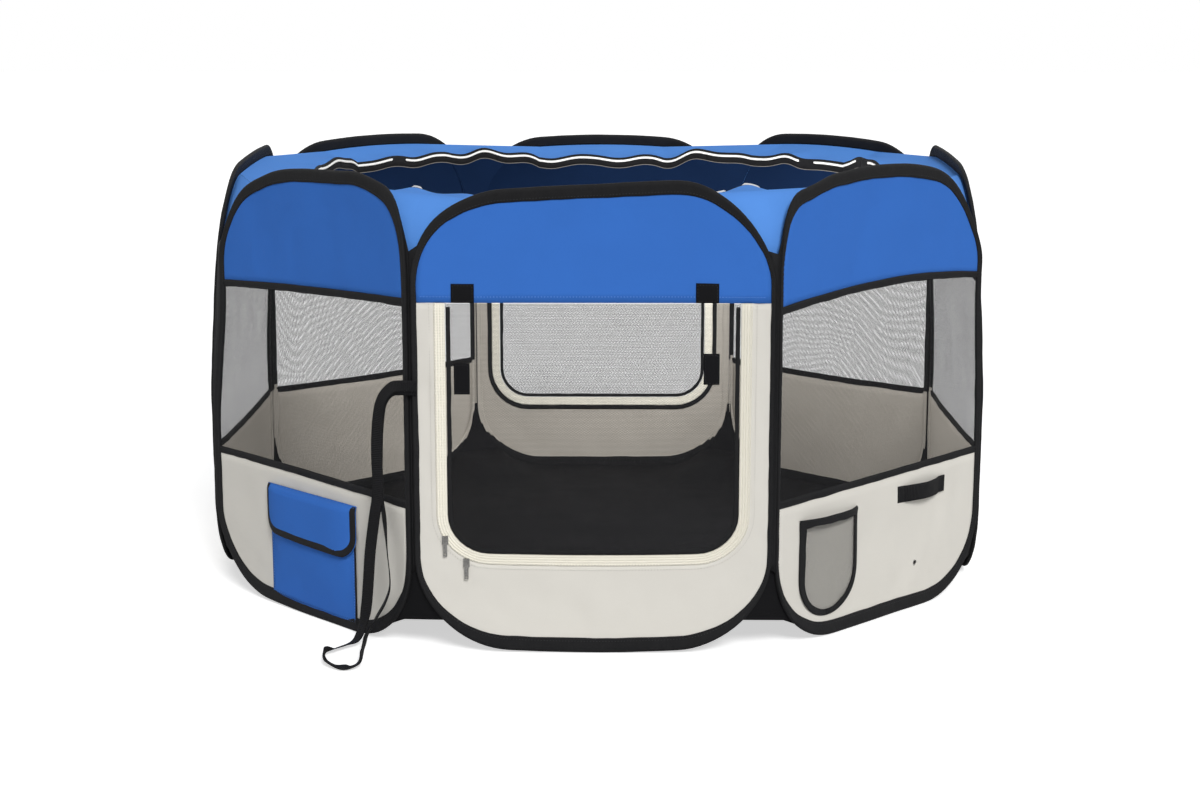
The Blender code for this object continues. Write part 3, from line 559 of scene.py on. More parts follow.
def patched(name, patches, material, ring=False, loop=False, thickness=0.0, lining=None, rim=True):
    """One smooth piece from patches, each rows of points with their weave coordinates.

    ring closes each row on itself, and loop joins the last row to the first.
    """
    vertices, faces, corners = [], [], []
    for rows, uvs in patches:
        base, count, width = len(vertices), len(rows), len(rows[0])
        vertices += [point for row in rows for point in row]
        for i in range(count if loop else count - 1):
            for j in range(width if ring else width - 1):
                near, far = base + i * width, base + (i + 1) % count * width
                after = (j + 1) % width
                faces.append((near + j, near + after, far + after, far + j))
                corners += [uvs[i][j], uvs[i][j + 1], uvs[i + 1][j + 1], uvs[i + 1][j]]
    piece = new_piece(name, vertices, faces, corners, material)
    if thickness:
        if lining:
            piece.data.materials.append(MATERIALS[lining])
        solid = piece.modifiers.new("thickness", "SOLIDIFY")
        solid.thickness = thickness
        solid.offset = 0.0
        solid.use_rim = rim
        solid.material_offset = 1 if lining else 0
    return piece


def surface(name, patch, material, **settings):
    """A smooth surface through one patch."""
    return patched(name, [patch], material, **settings)


def grid(ups, overs, cell):
    """A patch: rows of points and of weave coordinates, both given by cell for each pair of values."""
    cells = [[cell(up, over) for over in overs] for up in ups]
    return [[point for point, _ in row] for row in cells], [[flat for _, flat in row] for row in cells]


def flat_size(piece):
    """Width, length and area of the flat cut that a piece's weave coordinates lay out, in metres."""
    layer = piece.data.uv_layers["weave"].data
    xs = [entry.uv[0] for entry in layer]
    zs = [entry.uv[1] for entry in layer]
    area = 0.0
    for face in piece.data.polygons:
        points = [layer[i].uv for i in face.loop_indices]
        area += abs(sum(a[0] * b[1] - b[0] * a[1] for a, b in zip(points, points[1:] + points[:1]))) / 2
    return max(xs) - min(xs), max(zs) - min(zs), area


def flatten(piece, anchor):
    """Give a piece its own copy of its mesh."""
    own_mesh(piece)


def press(piece, k):
    """Give a piece of a leaning panel its own copy of its mesh."""
    flatten(piece, PLACES[k] @ Vector((0, 0, 0)))


def trim_piece(piece, body, node=None):
    """Fix a piece on its body, in place of its CAD node if it has one."""
    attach(piece, body)
    if body in PRESSED:
        press(piece, PANELS.index(body))
    if node:
        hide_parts(node)


def declare_sheet(piece):
    """Work out the flat cut of a piece of cloth, without keeping it."""
    width, length, area = flat_size(piece)
    min(area, width * length)


def cloth_piece(name, patch, material, body, slot, node, held, rests_on, **settings):
    """A sheet of cloth on its body, in place of its CAD node."""
    piece = surface(name, patch, material, **settings)
    trim_piece(piece, body, node)
    declare_sheet(piece)


# Shares of a folded tape's width and half thickness, from its outer roll to its sewn edge and back
TAPE_PROFILE = ((0.0, 0.0), (0.04, -0.62), (0.16, -1.0), (0.34, -0.96), (0.60, -0.74), (0.86, -0.66),
                (0.98, -0.52), (1.0, 0.0), (0.98, 0.52), (0.86, 0.66), (0.60, 0.74), (0.34, 0.96),
                (0.16, 1.0), (0.04, 0.62))
ROUND_PROFILE = tuple(((1 + math.cos(i * math.pi / 4)) / 2, math.sin(i * math.pi / 4)) for i in range(8))


def tape(name, k, line, width, thick, material, closed=False, lift=None, pucker=0.0005, seed=1.0,
         widen=None, profile=TAPE_PROFILE):
    """A folded tape along a line in panel k's plane, on the line's left side, puckered by its stitching.

    lift gives the tape's middle depth at a point; widen gives extra width by the way the tape faces.
    """
    along = lengths(line, closed)
    rows = []
    for reach, (x, z, left) in zip(along, with_left(line, closed)):
        full = width + (widen(left) if widen else 0.0)
        row = []
        for share, side in profile:
            wave = ripple(reach + share * 0.01, side * 0.01, 0.022, seed)
            slow = ripple(reach, 0.0, 0.06, seed + 3)
            across = full * share + pucker * (wave + slow) * (0.35 + share)
            depth = side * thick / 2 * (1 + 0.18 * wave) + pucker * slow
            px, pz = x + left.x * across, z + left.y * across
            row.append(on_panel(k, px, (lift(px, pz) if lift else 0.0) + depth, pz))
        rows.append(row)
    flat_profile = [(share * width, side * thick / 2) for share, side in profile]
    uvs = [[(reach, girth) for girth in lengths(flat_profile, closed=True)] for reach in along]
    return surface(name, (rows, uvs), material, ring=True, loop=closed)


def stitches(name, k, line, offset, depth, material, closed=False):
    """A row of stitches beside a line in panel k's plane: a small spindle of thread for each."""
    path = offset_line(line, offset, closed)
    along = lengths(path, closed)
    points = path + path[:1] if closed else path
    vertices, faces, corners = [], [], []
    reach = STITCH_PITCH / 2
    segment = 0
    while reach + STITCH_LENGTH < along[-1]:
        while along[segment + 1] < reach:
            segment += 1
        share = (reach - along[segment]) / max(along[segment + 1] - along[segment], 1e-9)
        start, end = Vector(points[segment]), Vector(points[segment + 1])
        middle = start.lerp(end, share)
        way = (end - start).normalized()
        side = Vector((-way.y, way.x))
        first = len(vertices)
        for ahead, across, out in ((-0.5, 0, 0), (0, 0.5, 0), (0, 0, -0.5), (0, -0.5, 0), (0.5, 0, 0)):
            spot = middle + way * ahead * STITCH_LENGTH + side * across * 2 * STITCH_THICK
            vertices.append(on_panel(k, spot.x, depth + out * 2 * STITCH_THICK, spot.y))
        for a, b, c in ((0, 1, 2), (0, 2, 3), (4, 2, 1), (4, 3, 2)):
            faces.append((first + a, first + b, first + c))
            corners += [(reach, 0.0), (reach + 0.001, 0.0), (reach, 0.001)]
        reach += STITCH_PITCH
    return new_piece(name, vertices, faces, corners, material)


def black_tape(name, k, line, width, thick, body, **settings):
    """A black tape along a line in panel k's plane, on its body."""
    trim_piece(tape(name, k, line, width, thick, "tape", **settings), body)


def sew(name, k, line, offset, depth, thread, body, closed=False):
    """A row of stitches beside a line in panel k's plane, on its body."""
    trim_piece(stitches(name, k, line, offset, depth, thread, closed), body)


def sew_both(name, k, line, offset, depth, thread, closed=False):
    """Rows of stitches on both faces of panel k, at a depth from its middle."""
    for side, facing in FACES:
        sew(f"{name}_{side}_{PANELS[k]}", k, line, offset, facing * depth, thread, PANELS[k], closed)


# Hoops and the cloth in them

# Height and size of the ripples in each cloth
RIPPLES = {"band": (0.0022, 0.07), "door band": (0.0018, 0.07), "window": (0.0030, 0.12),
           "lower": (0.0026, 0.07), "surround": (0.0022, 0.06), "door": (0.0035, 0.13),
           "pocket": (0.0016, 0.045), "flap": (0.0010, 0.05), "net pocket": (0.0012, 0.03)}
TAPE_WIDTHS = (0.0105, 0.0070, 0.0092)   # at the sides, and what is added at the top and at the foot
WIRE_INSET = 0.0014
SEWN_SHARE = 0.8           # of a hoop tape's width, out to its stitches
BINDING_SEAM = 0.0024      # from a panel's middle to the stitches of its tapes
STRIP_SEWN = 0.82          # share of a strip's width, down to its stitches
STRIP_SEAM = 0.0017
WEB_FOOT = 0.105
WEB_TOPS = (0.528, 0.508)  # of the webs between the hoops, beside the hoop and at the seam
WEB_CLEAR = 0.0007         # from the webs of a folding seam to its hinge line
WEB_THICK = 0.0012
# How much tighter a hoop's tape is rolled on its left and its right side
SLIM_SIDES = {FRONT: (0.0030, 0.0050), FRONT_RIGHT: (0.0050, 0.0), FRONT_LEFT: (-0.0040, 0.0020),
              BACK_LEFT: (0.0050, 0.0), BACK_RIGHT: (0.0, 0.0050)}
ROLL = 0.12                # share of a tape's width that is its outer roll
LINED_RISE = (0.020, 0.100)   # heights between which the lining widens over a tape, out to the seam


def hoop_widen(k):
    """Extra width of a hoop's tape by the way it faces: it is widest over the top and foot."""
    def extra(left):
        sides = SLIM_SIDES.get(k, (0.0, 0.0))
        slim = sides[0] * max(left.x, 0) ** 2 + sides[1] * max(-left.x, 0) ** 2
        return TAPE_WIDTHS[1] * max(-left.y, 0) ** 2 + TAPE_WIDTHS[2] * max(left.y, 0) ** 2 - slim
    return extra


def seam_axis(k):
    """Place of the hinge line between panel k and the next one, in panel k's coordinates."""
    if k % 2:
        return Vector((panel_width(k) / 2 - TIP_INSET * math.tan(TURN / 2), TIP_INSET, 0))
    return Vector((panel_width(k) / 2, 0, 0))


def seam_beside(k):
    """Place of the hinge line between panel k and the one before it, in panel k's coordinates."""
    before = (k - 1) % COUNT
    return PLACES[k].inverted() @ PLACES[before] @ seam_axis(before)


def lined_top(k):
    """Height up to which the lining hides the tapes inside panel k's hoop."""
    return DOOR_HEM if k in DOOR_PANELS else WINDOW_FOOT


def line_binding(piece, k, line):
    """Let the lining run over the inner side of a hoop's tape."""
    piece.data.materials.append(MATERIALS["greige"])
    count = len(TAPE_PROFILE)
    for face in piece.data.polygons:
        i, j = divmod(face.index, count)
        z = line[i][1]
        share = (TAPE_PROFILE[j][0] + TAPE_PROFILE[(j + 1) % count][0]) / 2
        covered = smooth((z - LINED_RISE[0]) / (LINED_RISE[1] - LINED_RISE[0]))
        if j >= count // 2 and z < lined_top(k) and share > max(1 - covered, ROLL):
            face.material_index = 1


def seam_web(side, k):
    """The web that joins panel k's hoop to a seam, with the lining over its inner side."""
    outwards = 1 if side == "right" else -1
    own = seam_axis(k) if outwards > 0 else seam_beside(k)
    seam = k if outwards > 0 else (k - 1) % COUNT
    depth = own.y - WEB_CLEAR if seam % 2 else own.y
    to_seam = PLACES[seam].inverted() @ PLACES[k]

    def cell(up, over):
        z, low = (WEB_FOOT + (top - WEB_FOOT) * up for top in WEB_TOPS)
        near = on_panel(k, outwards * hoop_half(k, z, 0.002), depth, z)
        far = seam_point(seam, *(to_seam @ Vector((own.x, depth, low))))
        return near.lerp(far, over), (z, 0.005 * over)

    steps = 30
    patch = grid(shares(steps), shares(2)[::outwards], cell)
    web = surface(f"seam_web_{side}_{PANELS[k]}", patch, "tape", thickness=WEB_THICK)
    for name in ("tape", "greige"):
        web.data.materials.append(MATERIALS[name])
    web.modifiers["thickness"].material_offset = 1
    for face in web.data.polygons:
        if WEB_FOOT + (WEB_TOPS[0] - WEB_FOOT) * (face.index // 2) / steps < lined_top(k):
            face.material_index = 1
    return web


def dress_hoop(k):
    """The tape round a hoop with its stitches, the webs that join it to the seams, and the steel inside."""
    name = PANELS[k]
    wire = tape("wire_" + name, k, hoop_line(k, WIRE_INSET), WIRE, WIRE, "steel", closed=True, pucker=0.0,
                profile=ROUND_PROFILE)
    trim_piece(wire, name, "hoop_wire_" + name)
    line, widen = hoop_line(k, 0.0), hoop_widen(k)
    binding = tape("binding_" + name, k, line, TAPE_WIDTHS[0], TAPE_THICK, "tape", closed=True,
                   seed=k + 1, widen=widen)
    line_binding(binding, k, line)
    trim_piece(binding, name, "hoop_binding_" + name)
    sewn = []
    for x, z, left in with_left(line, True):
        reach = SEWN_SHARE * (TAPE_WIDTHS[0] + widen(left))
        sewn.append((x + left.x * reach, z + left.y * reach))
    sew_both("binding_thread", k, sewn, 0.0, BINDING_SEAM, "black thread", closed=True)
    for side in ("right", "left"):
        web = seam_web(side, k)
        trim_piece(web, name)
        if name not in PRESSED:
            press(web, k)


def strip_height(k, where, x):
    """Height of the middle of a tape across panel k at x."""
    share = 2 * x / panel_width(k)
    if where == "top":
        return WINDOW_TOP + through(TOP_STRIP_BOW.get(k, OTHER_TOP_BOW), share)
    return WINDOW_FOOT + through(FOOT_STRIP_BOW.get(k, OTHER_FOOT_BOW), share)


def hoop_sheet(k, low, high, counts, seed, kind, low_line=None, high_line=None, ease=None):
    """A patch of cloth that fills panel k's hoop between two heights, with its kind's ripples.

    low_line and high_line give the cloth's real edge at x, where a tape bows.
    """
    height, size = RIPPLES[kind]

    def cell(share, over):
        z = low + (high - low) * share
        across = 2 * over - 1
        x = hoop_half(k, z, EDGE) * across
        real = z
        if low_line:
            real += (low_line(x) - low) * (1 - share)
        if high_line:
            real += (high_line(x) - high) * share
        hold = smooth(3.5 * min(1 - abs(across), share * 1.2, (1 - share) * 1.2))
        waves = ripple(x, z, size, seed) + 0.45 * ripple(x, z, size / 2.6, seed + 5)
        return on_panel(k, x, height * waves * hold, real), (x, real)

    ups = [ease(share) if ease else share for share in shares(counts[0])]
    return grid(ups, shares(counts[1]), cell)


def dress_window_panel(k):
    """Blue band, net window, cream lower panel and the tapes between them."""
    name = PANELS[k]
    wire = "wire_" + name

    def top_line(x):
        return strip_height(k, "top", x)

    def foot_line(x):
        return strip_height(k, "foot", x)

    patch = hoop_sheet(k, WINDOW_TOP, PEN_HEIGHT - EDGE, (18, 40), k + 11, "band", low_line=top_line,
                       ease=ease_up)
    cloth_piece("band_" + name, patch, "blue", name, "blue_cloth", "top_band_" + name, "stretched", wire,
                thickness=FABRIC, lining="lining")
    patch = hoop_sheet(k, WINDOW_FOOT, WINDOW_TOP, (16, 32), k + 21, "window", low_line=foot_line,
                       high_line=top_line)
    cloth_piece("net_" + name, patch, "net", name, "black_net", "window_mesh_" + name, "stretched", wire,
                thickness=NET_THICK, rim=False)
    patch = hoop_sheet(k, EDGE, WINDOW_FOOT, (18, 40), k + 31, "lower", high_line=foot_line, ease=ease_down)
    punched = "punched " if k == FRONT_RIGHT else ""
    cloth_piece("lower_" + name, patch, punched + "cream", name, "cream_cloth", "lower_panel_" + name,
                "stretched", wire, thickness=FABRIC, lining=punched + "greige")

    for where, middle in (("top", WINDOW_TOP), ("foot", WINDOW_FOOT)):
        half = hoop_half(k, middle, EDGE)
        xs = [half * (1 - 2 * share) for share in shares(round(2 * half / LINE_STEP))]
        line = [(x, strip_height(k, where, x) + STRIP_WIDTH / 2) for x in xs]
        black_tape(f"strip_{where}_{name}", k, line, STRIP_WIDTH, STRIP_THICK, name, seed=k + 41,
                   pucker=0.0007)
        sew_both("strip_thread_" + where, k, line, STRIP_WIDTH * STRIP_SEWN, STRIP_SEAM, "black thread")


# Doors

ZIP_RIDGES = 4
ZIP_INSET = 0.0008         # from the zip's inner edge to its ridged tape
ZIP_SEAM = 0.0012          # from a panel's middle to the stitches that hold the zip
ZIP_THREADS = (("near", ZIP_WIDTH - 0.0012, 1.8), ("far", 0.0205, 1.0))   # outwards, share of the depth
UNDER_ZIP = 0.002          # how far the surround runs under the zip
SURROUND = (DOOR_WIDTH / 2 + ZIP_WIDTH - UNDER_ZIP, DOOR_SILL - ZIP_WIDTH + UNDER_ZIP,
            DOOR_RADIUS + ZIP_WIDTH)   # half width, foot and radius of its inner edge
HEM_SEWN = 0.0075          # from a band's hem up to its stitches
HEM_SEAM = 0.0009
HEM_INSET = 0.011          # from a hoop's outer edge to the ends of the hem's stitches
ZIP_FACE = (0.0009, 0.0009)   # the zip's tape stands off the panel, and its ridges off the tape
ZIP_BACK = 0.0026          # from there to the tape's inner side
ZIP_TAPE_THICK = (0.0008, 0.0006)
PIPING_LAP = 0.0004        # over the zip's inner edge
INSIDE_TRIM = 0.0019       # from a panel's middle to a trim on its inner side


def dress_door_panel(k):
    """Blue band, cream surround, zip, net door and their piping."""
    name = PANELS[k]
    wire = "wire_" + name
    patch = hoop_sheet(k, DOOR_HEM, PEN_HEIGHT - EDGE, (18, 44), k + 12, "door band", ease=ease_up)
    cloth_piece("band_" + name, patch, "blue", name, "blue_cloth", "top_band_" + name, "stretched", wire,
                thickness=DOOR_BAND, lining="lining")
    half = hoop_half(k, DOOR_HEM, HEM_INSET)
    hem = [(half * (2 * share - 1), DOOR_HEM) for share in shares(round(2 * half / LINE_STEP))]
    sew_both("hem_thread", k, hem, HEM_SEWN, HEM_SEAM, "blue thread")

    def surround_cell(share, ends):
        height, size = RIPPLES["surround"]
        x, z = between(*ends, share)
        hold = smooth(2.2 * min(share, 1 - share) + 0.05)
        waves = ripple(x, z, size, k + 14) + 0.5 * ripple(x, z, 0.025, k + 15)
        return on_panel(k, x, height * waves * hold, z), (x, z)

    inner = u_line(*SURROUND, DOOR_HEM)
    patch = grid(shares(12), list(zip(inner, matched_hoop_line(k, inner)))[::-1], surround_cell)
    cloth_piece("surround_" + name, patch, "cream", name, "cream_cloth", "door_surround_" + name,
                "stretched", wire, thickness=FABRIC, lining="greige")

    dress_zip(k)

    def net_cell(share, over):
        height, size = RIPPLES["door"]
        z = DOOR_SILL + (DOOR_TOP - DOOR_SILL) * ease_down(share)
        across = 2 * over - 1
        x = round_foot_half(DOOR_WIDTH / 2, DOOR_SILL, DOOR_RADIUS, z) * across
        hold = smooth(3 * min(1 - abs(across), share, 1 - share))
        return on_panel(k, x, height * ripple(x, z, size, k + 16) * hold, z), (x, z)

    cloth_piece("door_net_" + name, grid(shares(30), shares(34), net_cell), "net", name + "_door",
                "black_net", "door_mesh_" + name, "hung", "band_" + name, thickness=NET_THICK, rim=False)
    line = door_line(-PIPING_LAP, DOOR_TOP - 0.004)
    black_tape("door_piping_" + name, k, line, *PIPING, name + "_door", seed=k + 17, pucker=0.0006)
    line = door_line(ZIP_PIPING[1], DOOR_HEM)
    black_tape("zip_piping_" + name, k, line, ZIP_PIPING[1] - ZIP_PIPING[0], ZIP_PIPING_THICK, name,
               seed=k + 18, pucker=0.0006, lift=lambda x, z: INSIDE_TRIM)


def part_ends(half, foot, radius):
    """Distances along a U line up to the door's hem at which its legs, bends and run begin and end."""
    leg, bend, run = DOOR_HEM - foot - radius, radius * math.pi / 2, 2 * (half - radius)
    return list(accumulate((0.0, leg, bend, run, bend, leg)))


def matched_hoop_line(k, inner):
    """Points of panel k's hoop, one for each point of the surround's inner edge, in the same order."""
    sizes = (panel_width(k) / 2 - SEAM_GAP - EDGE, EDGE, CORNER_RADIUS - EDGE)
    outline = u_line(*sizes, DOOR_HEM, step=0.002)
    marks, own_marks = part_ends(*sizes), part_ends(*SURROUND)
    reach, own = lengths(outline), lengths(inner)
    matched, segment = [], 0
    for value in own:
        value = min(value * own_marks[-1] / own[-1], own_marks[-1])
        part = 0
        while part < 4 and value > own_marks[part + 1]:
            part += 1
        share = (value - own_marks[part]) / (own_marks[part + 1] - own_marks[part])
        target = (marks[part] + (marks[part + 1] - marks[part]) * share) * reach[-1] / marks[-1]
        while segment < len(reach) - 2 and reach[segment + 1] < target:
            segment += 1
        ratio = (target - reach[segment]) / (reach[segment + 1] - reach[segment])
        matched.append(between(outline[segment], outline[segment + 1], ratio))
    return matched


def dress_zip(k):
    """The zip round a door: ridged tape, covered coil and sewing lines."""
    name = PANELS[k]
    rows, uvs = [], []
    for share in shares(24):
        line = door_line(ZIP_INSET + (ZIP_WIDTH - ZIP_INSET) * share, DOOR_HEM)
        crest = abs(math.sin(math.pi * ZIP_RIDGES * share)) ** 0.7
        face = -ZIP_FACE[0] - ZIP_FACE[1] * crest
        rows.append([on_panel(k, x, face + 0.0002 * ripple(x, z, 0.02, k + 19), z) for x, z in line])
        uvs.append([(reach, share * ZIP_WIDTH) for reach in lengths(line)])
    front = surface("zip_" + name, (rows, uvs), "zip", thickness=ZIP_TAPE_THICK[0])
    trim_piece(front, name, "door_zip_" + name)
    inwards = PLACES[k].to_3x3() @ Vector((0, ZIP_BACK, 0))
    back_rows = [[point + inwards for point in row] for row in rows[::4]]
    back = surface("zip_back_" + name, (back_rows, uvs[::4]), "zip", thickness=ZIP_TAPE_THICK[1])
    trim_piece(back, name)
    line = door_line(0.0, DOOR_HEM)
    for side, facing in FACES:
        for label, outwards, share in ZIP_THREADS:
            sew(f"zip_thread_{label}_{side}_{name}", k, line, -outwards, facing * ZIP_SEAM * share,
                "cream thread", name)


def pad(name, k, centre, size, near, thick, material):
    """A sewn-on patch, thick in the middle and stitched down at its edges."""
    def cell(up, over):
        up, across = 2 * up - 1, 2 * over - 1
        x, z = centre[0] + across * size[0] / 2, centre[1] + up * size[1] / 2
        full = 1 - max(abs(across), abs(up)) ** 6
        return on_panel(k, x, near - thick * (0.35 + 0.65 * full) - 0.0003 * ripple(x, z, 0.01, k), z), (x, z)

    return surface(name, grid(shares(10), shares(10), cell), material, thickness=0.0006)


def patch_border(centre, size, inset):
    """Closed rectangle inside a patch's edge, anticlockwise."""
    x, z = size[0] / 2 - inset, size[1] / 2 - inset
    return [(centre[0] + side * x, centre[1] + up * z) for side, up in ((-1, -1), (1, -1), (1, 1), (-1, 1))]


def dress_tabs():
    """Hook-and-loop tabs on the front band and the patches on the door that they hold when it is up."""
    for i, (side, outwards) in enumerate((("left", -1), ("right", 1))):
        tab_centre = (outwards * (DOOR_WIDTH / 2 - TAB_INSETS[i]), DOOR_HEM + TAB_SIZE[1] / 2)
        patch_centre = (outwards * (DOOR_WIDTH / 2 - PATCH_INSETS[i]), DOOR_HEM - PATCH_DROPS[i])
        for kind, centre, size, thick, body in (("tab", tab_centre, TAB_SIZE, TAB_THICK, "front"),
                                                ("patch", patch_centre, PATCH_SIZE, PATCH_THICK,
                                                 "front_door")):
            piece = pad(f"{kind}_{side}", FRONT, centre, size, -FACE, thick, "hook")
            trim_piece(piece, body, f"door_{kind}_{side}")
            sew(f"{kind}_thread_{side}", FRONT, patch_border(centre, size, 0.0022), 0.0,
                -FACE - thick * 0.95, "black thread", body, closed=True)


def dress_zip_metal():
    """Sliders and pulls keep their own shapes, with broken edges and plated metal."""
    for name in ("side", "sill", "back"):
        for node in ("zip_slider_" + name, "zip_pull_" + name):
            piece = NODES[node]
            piece.data.materials[0] = MATERIALS["silver"]
            edge = piece.modifiers.new("broken edges", "BEVEL")
            edge.width = 0.00025
            edge.segments = 2
            edge.limit_method = "ANGLE"


def dress_eyelet():
    """The metal ring of the eyelet."""
    steps, sides = 28, 10
    (x, z), (middle, half_width, half_depth) = EYELET_CENTRE, EYELET_RING
    rows = []
    for i in range(steps):
        turn = math.tau * i / steps
        row = []
        for j in range(sides):
            angle = math.tau * j / sides
            radius = middle - half_width * math.cos(angle)
            row.append(on_panel(FRONT_RIGHT, x + radius * math.cos(turn), half_depth * math.sin(angle),
                                z + radius * math.sin(turn)))
        rows.append(row)
    uvs = [[(0.001 * (i % steps), 0.001 * j) for j in range(sides + 1)] for i in range(steps + 1)]
    ring = surface("eyelet_ring", (rows, uvs), "silver", ring=True, loop=True)
    trim_piece(ring, "front_right", "eyelet")


# Pockets and loop

POCKET_MOUTH = POCKET_FOOT + POCKET_HEIGHT
FLAP_TOP = POCKET_MOUTH + POCKET_SEAM
FLAP_HALF = POCKET_WIDTH / 2 + FLAP_OVERHANG
FLAP_BEND = 0.028          # of the flap's lower corners
FLAP_TAPE = 0.0070
POCKET_PIPING = (0.0030, 0.0020)
BINDING_THICK = 0.0030
NET_POCKET_TAPE = 0.0088
NET_POCKET_MOUTH_TAPE = (0.0108, 0.0034)


def lean(x, z):
    """Height of a point of the pocket once it is sewn on askew."""
    return z + POCKET_LEAN * (x - POCKET_CENTRE)


def flap_lean(x, z):
    """Height of a point of the flap: level along its hinge, askew at its foot."""
    return z + POCKET_LEAN * (x - POCKET_CENTRE) * min((FLAP_TOP - z) / FLAP_HEIGHT, 1.0)


def swelling(z, foot, height):
    """Share of a pocket's depth at a height: none at its foot and all at its mouth."""
    return math.sin(math.pi / 2 * min(max((z - foot) / height, 0.0), 1.0))


def pocket_swell(x, z):
    """How far the pocket stands off its panel: flat seams, then steep sides, and a full mouth."""
    across = abs(x - POCKET_CENTRE) / (POCKET_WIDTH / 2 - POCKET_SEAM)
    return (1 - min(across, 1.0) ** 5) * swelling(z, POCKET_FOOT, POCKET_HEIGHT) * (POCKET_DEPTH - CLOTH)


def flap_depth(x, z):
    """Depth of the middle of the flap's cloth."""
    share = smooth(min((FLAP_TOP - z) / POCKET_SEAM, 1.0))
    across = min(abs(x - POCKET_CENTRE) / FLAP_HALF, 1.0)
    swell = (1 - across ** 5) * (POCKET_DEPTH - CLOTH) + FLAP_GAP + CLOTH
    return -FACE - CLOTH / 2 - swell * share


def flap_widen(left):
    """The flap's binding is wider along its foot and its right side."""
    return 0.0030 * max(left.y, 0) ** 2 + 0.0015 * max(-left.x, 0) ** 2


def dress_pocket():
    """The blue pocket, its flap and the flap's black binding."""
    k = FRONT_LEFT

    def bag_cell(up, over):
        x, z = POCKET_CENTRE + POCKET_WIDTH / 2 * (2 * over - 1), POCKET_FOOT + POCKET_HEIGHT * up
        hold = smooth(4 * min(over, 1 - over, up + 0.05))
        height, size = RIPPLES["pocket"]
        depth = -FACE - CLOTH / 2 - pocket_swell(x, z) - height * hold * (ripple(x, z, size, 3.1) + 0.2)
        return on_panel(k, x, depth, lean(x, z)), (x, z)

    cloth_piece("pocket", grid(shares(22), shares(30), bag_cell), "blue", "front_left", "blue_cloth",
                "pocket_bag", "hung", "lower_front_left", thickness=FABRIC)
    edge = u_line(POCKET_WIDTH / 2 - 0.002, POCKET_FOOT + 0.002, 0.004, POCKET_MOUTH, POCKET_CENTRE)
    edge = [(x, lean(x, z)) for x, z in edge]
    sew("pocket_thread", k, edge, 0.0012, -FACE - 0.0013, "blue thread", "front_left")
    side = POCKET_CENTRE + POCKET_WIDTH / 2 + 0.001
    line = [(side, lean(side, POCKET_FOOT + i * 0.008)) for i in range(18)]
    black_tape("pocket_piping", k, line, *POCKET_PIPING, "front_left", seed=5.1,
               lift=lambda x, z: -FACE - 0.0008)

    foot = FLAP_TOP - FLAP_HEIGHT

    def flap_cell(down, over):
        z = FLAP_TOP - FLAP_HEIGHT * down ** 0.9
        x = POCKET_CENTRE - round_foot_half(FLAP_HALF, foot, FLAP_BEND, z) * (2 * over - 1)
        hold = smooth(4 * min(over, 1 - over, down, 1.02 - down))
        height, size = RIPPLES["flap"]
        depth = flap_depth(x, z) - height * hold * (ripple(x, z, size, 4.4) + 0.3)
        return on_panel(k, x, depth, flap_lean(x, z)), (x, z)

    cloth_piece("flap", grid(shares(26), shares(30), flap_cell), "blue", "pocket_flap", "blue_cloth",
                "pocket_flap", "hung", "lower_front_left", thickness=FABRIC)
    line = u_line(FLAP_HALF, foot, FLAP_BEND, FLAP_TOP - 0.0005, POCKET_CENTRE, step=0.006)
    line = [(x, flap_lean(x, z)) for x, z in line]
    black_tape("flap_binding", k, line, FLAP_TAPE, BINDING_THICK, "pocket_flap", seed=5.5, pucker=0.0006,
               lift=lambda x, z: flap_depth(x, 2 * z - flap_lean(x, z)), widen=flap_widen)


def net_pocket_depth(x, z):
    """Depth of the net pocket's front."""
    across = min(abs(x - NET_POCKET_CENTRE) / (NET_POCKET_WIDTH / 2), 1.0)
    rise = swelling(z, NET_POCKET_FOOT, NET_POCKET_HEIGHT)
    return -FACE - 0.0008 - (1 - across ** 3) * rise * (NET_POCKET_DEPTH - CLOTH)


def dress_net_pocket():
    """The round-footed net pocket and its black bindings."""
    k = FRONT_RIGHT
    half, foot = NET_POCKET_WIDTH / 2, NET_POCKET_FOOT
    top = foot + NET_POCKET_HEIGHT
    inset = 0.002

    def cell(up, over):
        z = foot + inset + (NET_POCKET_HEIGHT - inset) * ease_down(up)
        x = NET_POCKET_CENTRE + round_foot_half(half - inset, foot + inset, half - inset, z) * (2 * over - 1)
        hold = smooth(4 * min(over, 1 - over, up))
        height, size = RIPPLES["net pocket"]
        return on_panel(k, x, net_pocket_depth(x, z) - height * hold * ripple(x, z, size, 6.1), z), (x, z)

    cloth_piece("net_pocket_front", grid(shares(24), shares(22), cell), "pocket net", "front_right",
                "black_net", "net_pocket", "hung", "lower_front_right")
    line = u_line(half, foot, half - 0.001, top, NET_POCKET_CENTRE, step=0.006)
    black_tape("net_pocket_binding", k, line, NET_POCKET_TAPE, BINDING_THICK, "front_right",
               lift=net_pocket_depth, seed=6.5, pucker=0.0008)
    mouth = [(NET_POCKET_CENTRE + half * (1 - 2 * share), top + 0.0025) for share in shares(16)]
    black_tape("net_pocket_mouth_binding", k, mouth, *NET_POCKET_MOUTH_TAPE, "front_right",
               lift=net_pocket_depth, seed=7.5, pucker=0.0018)


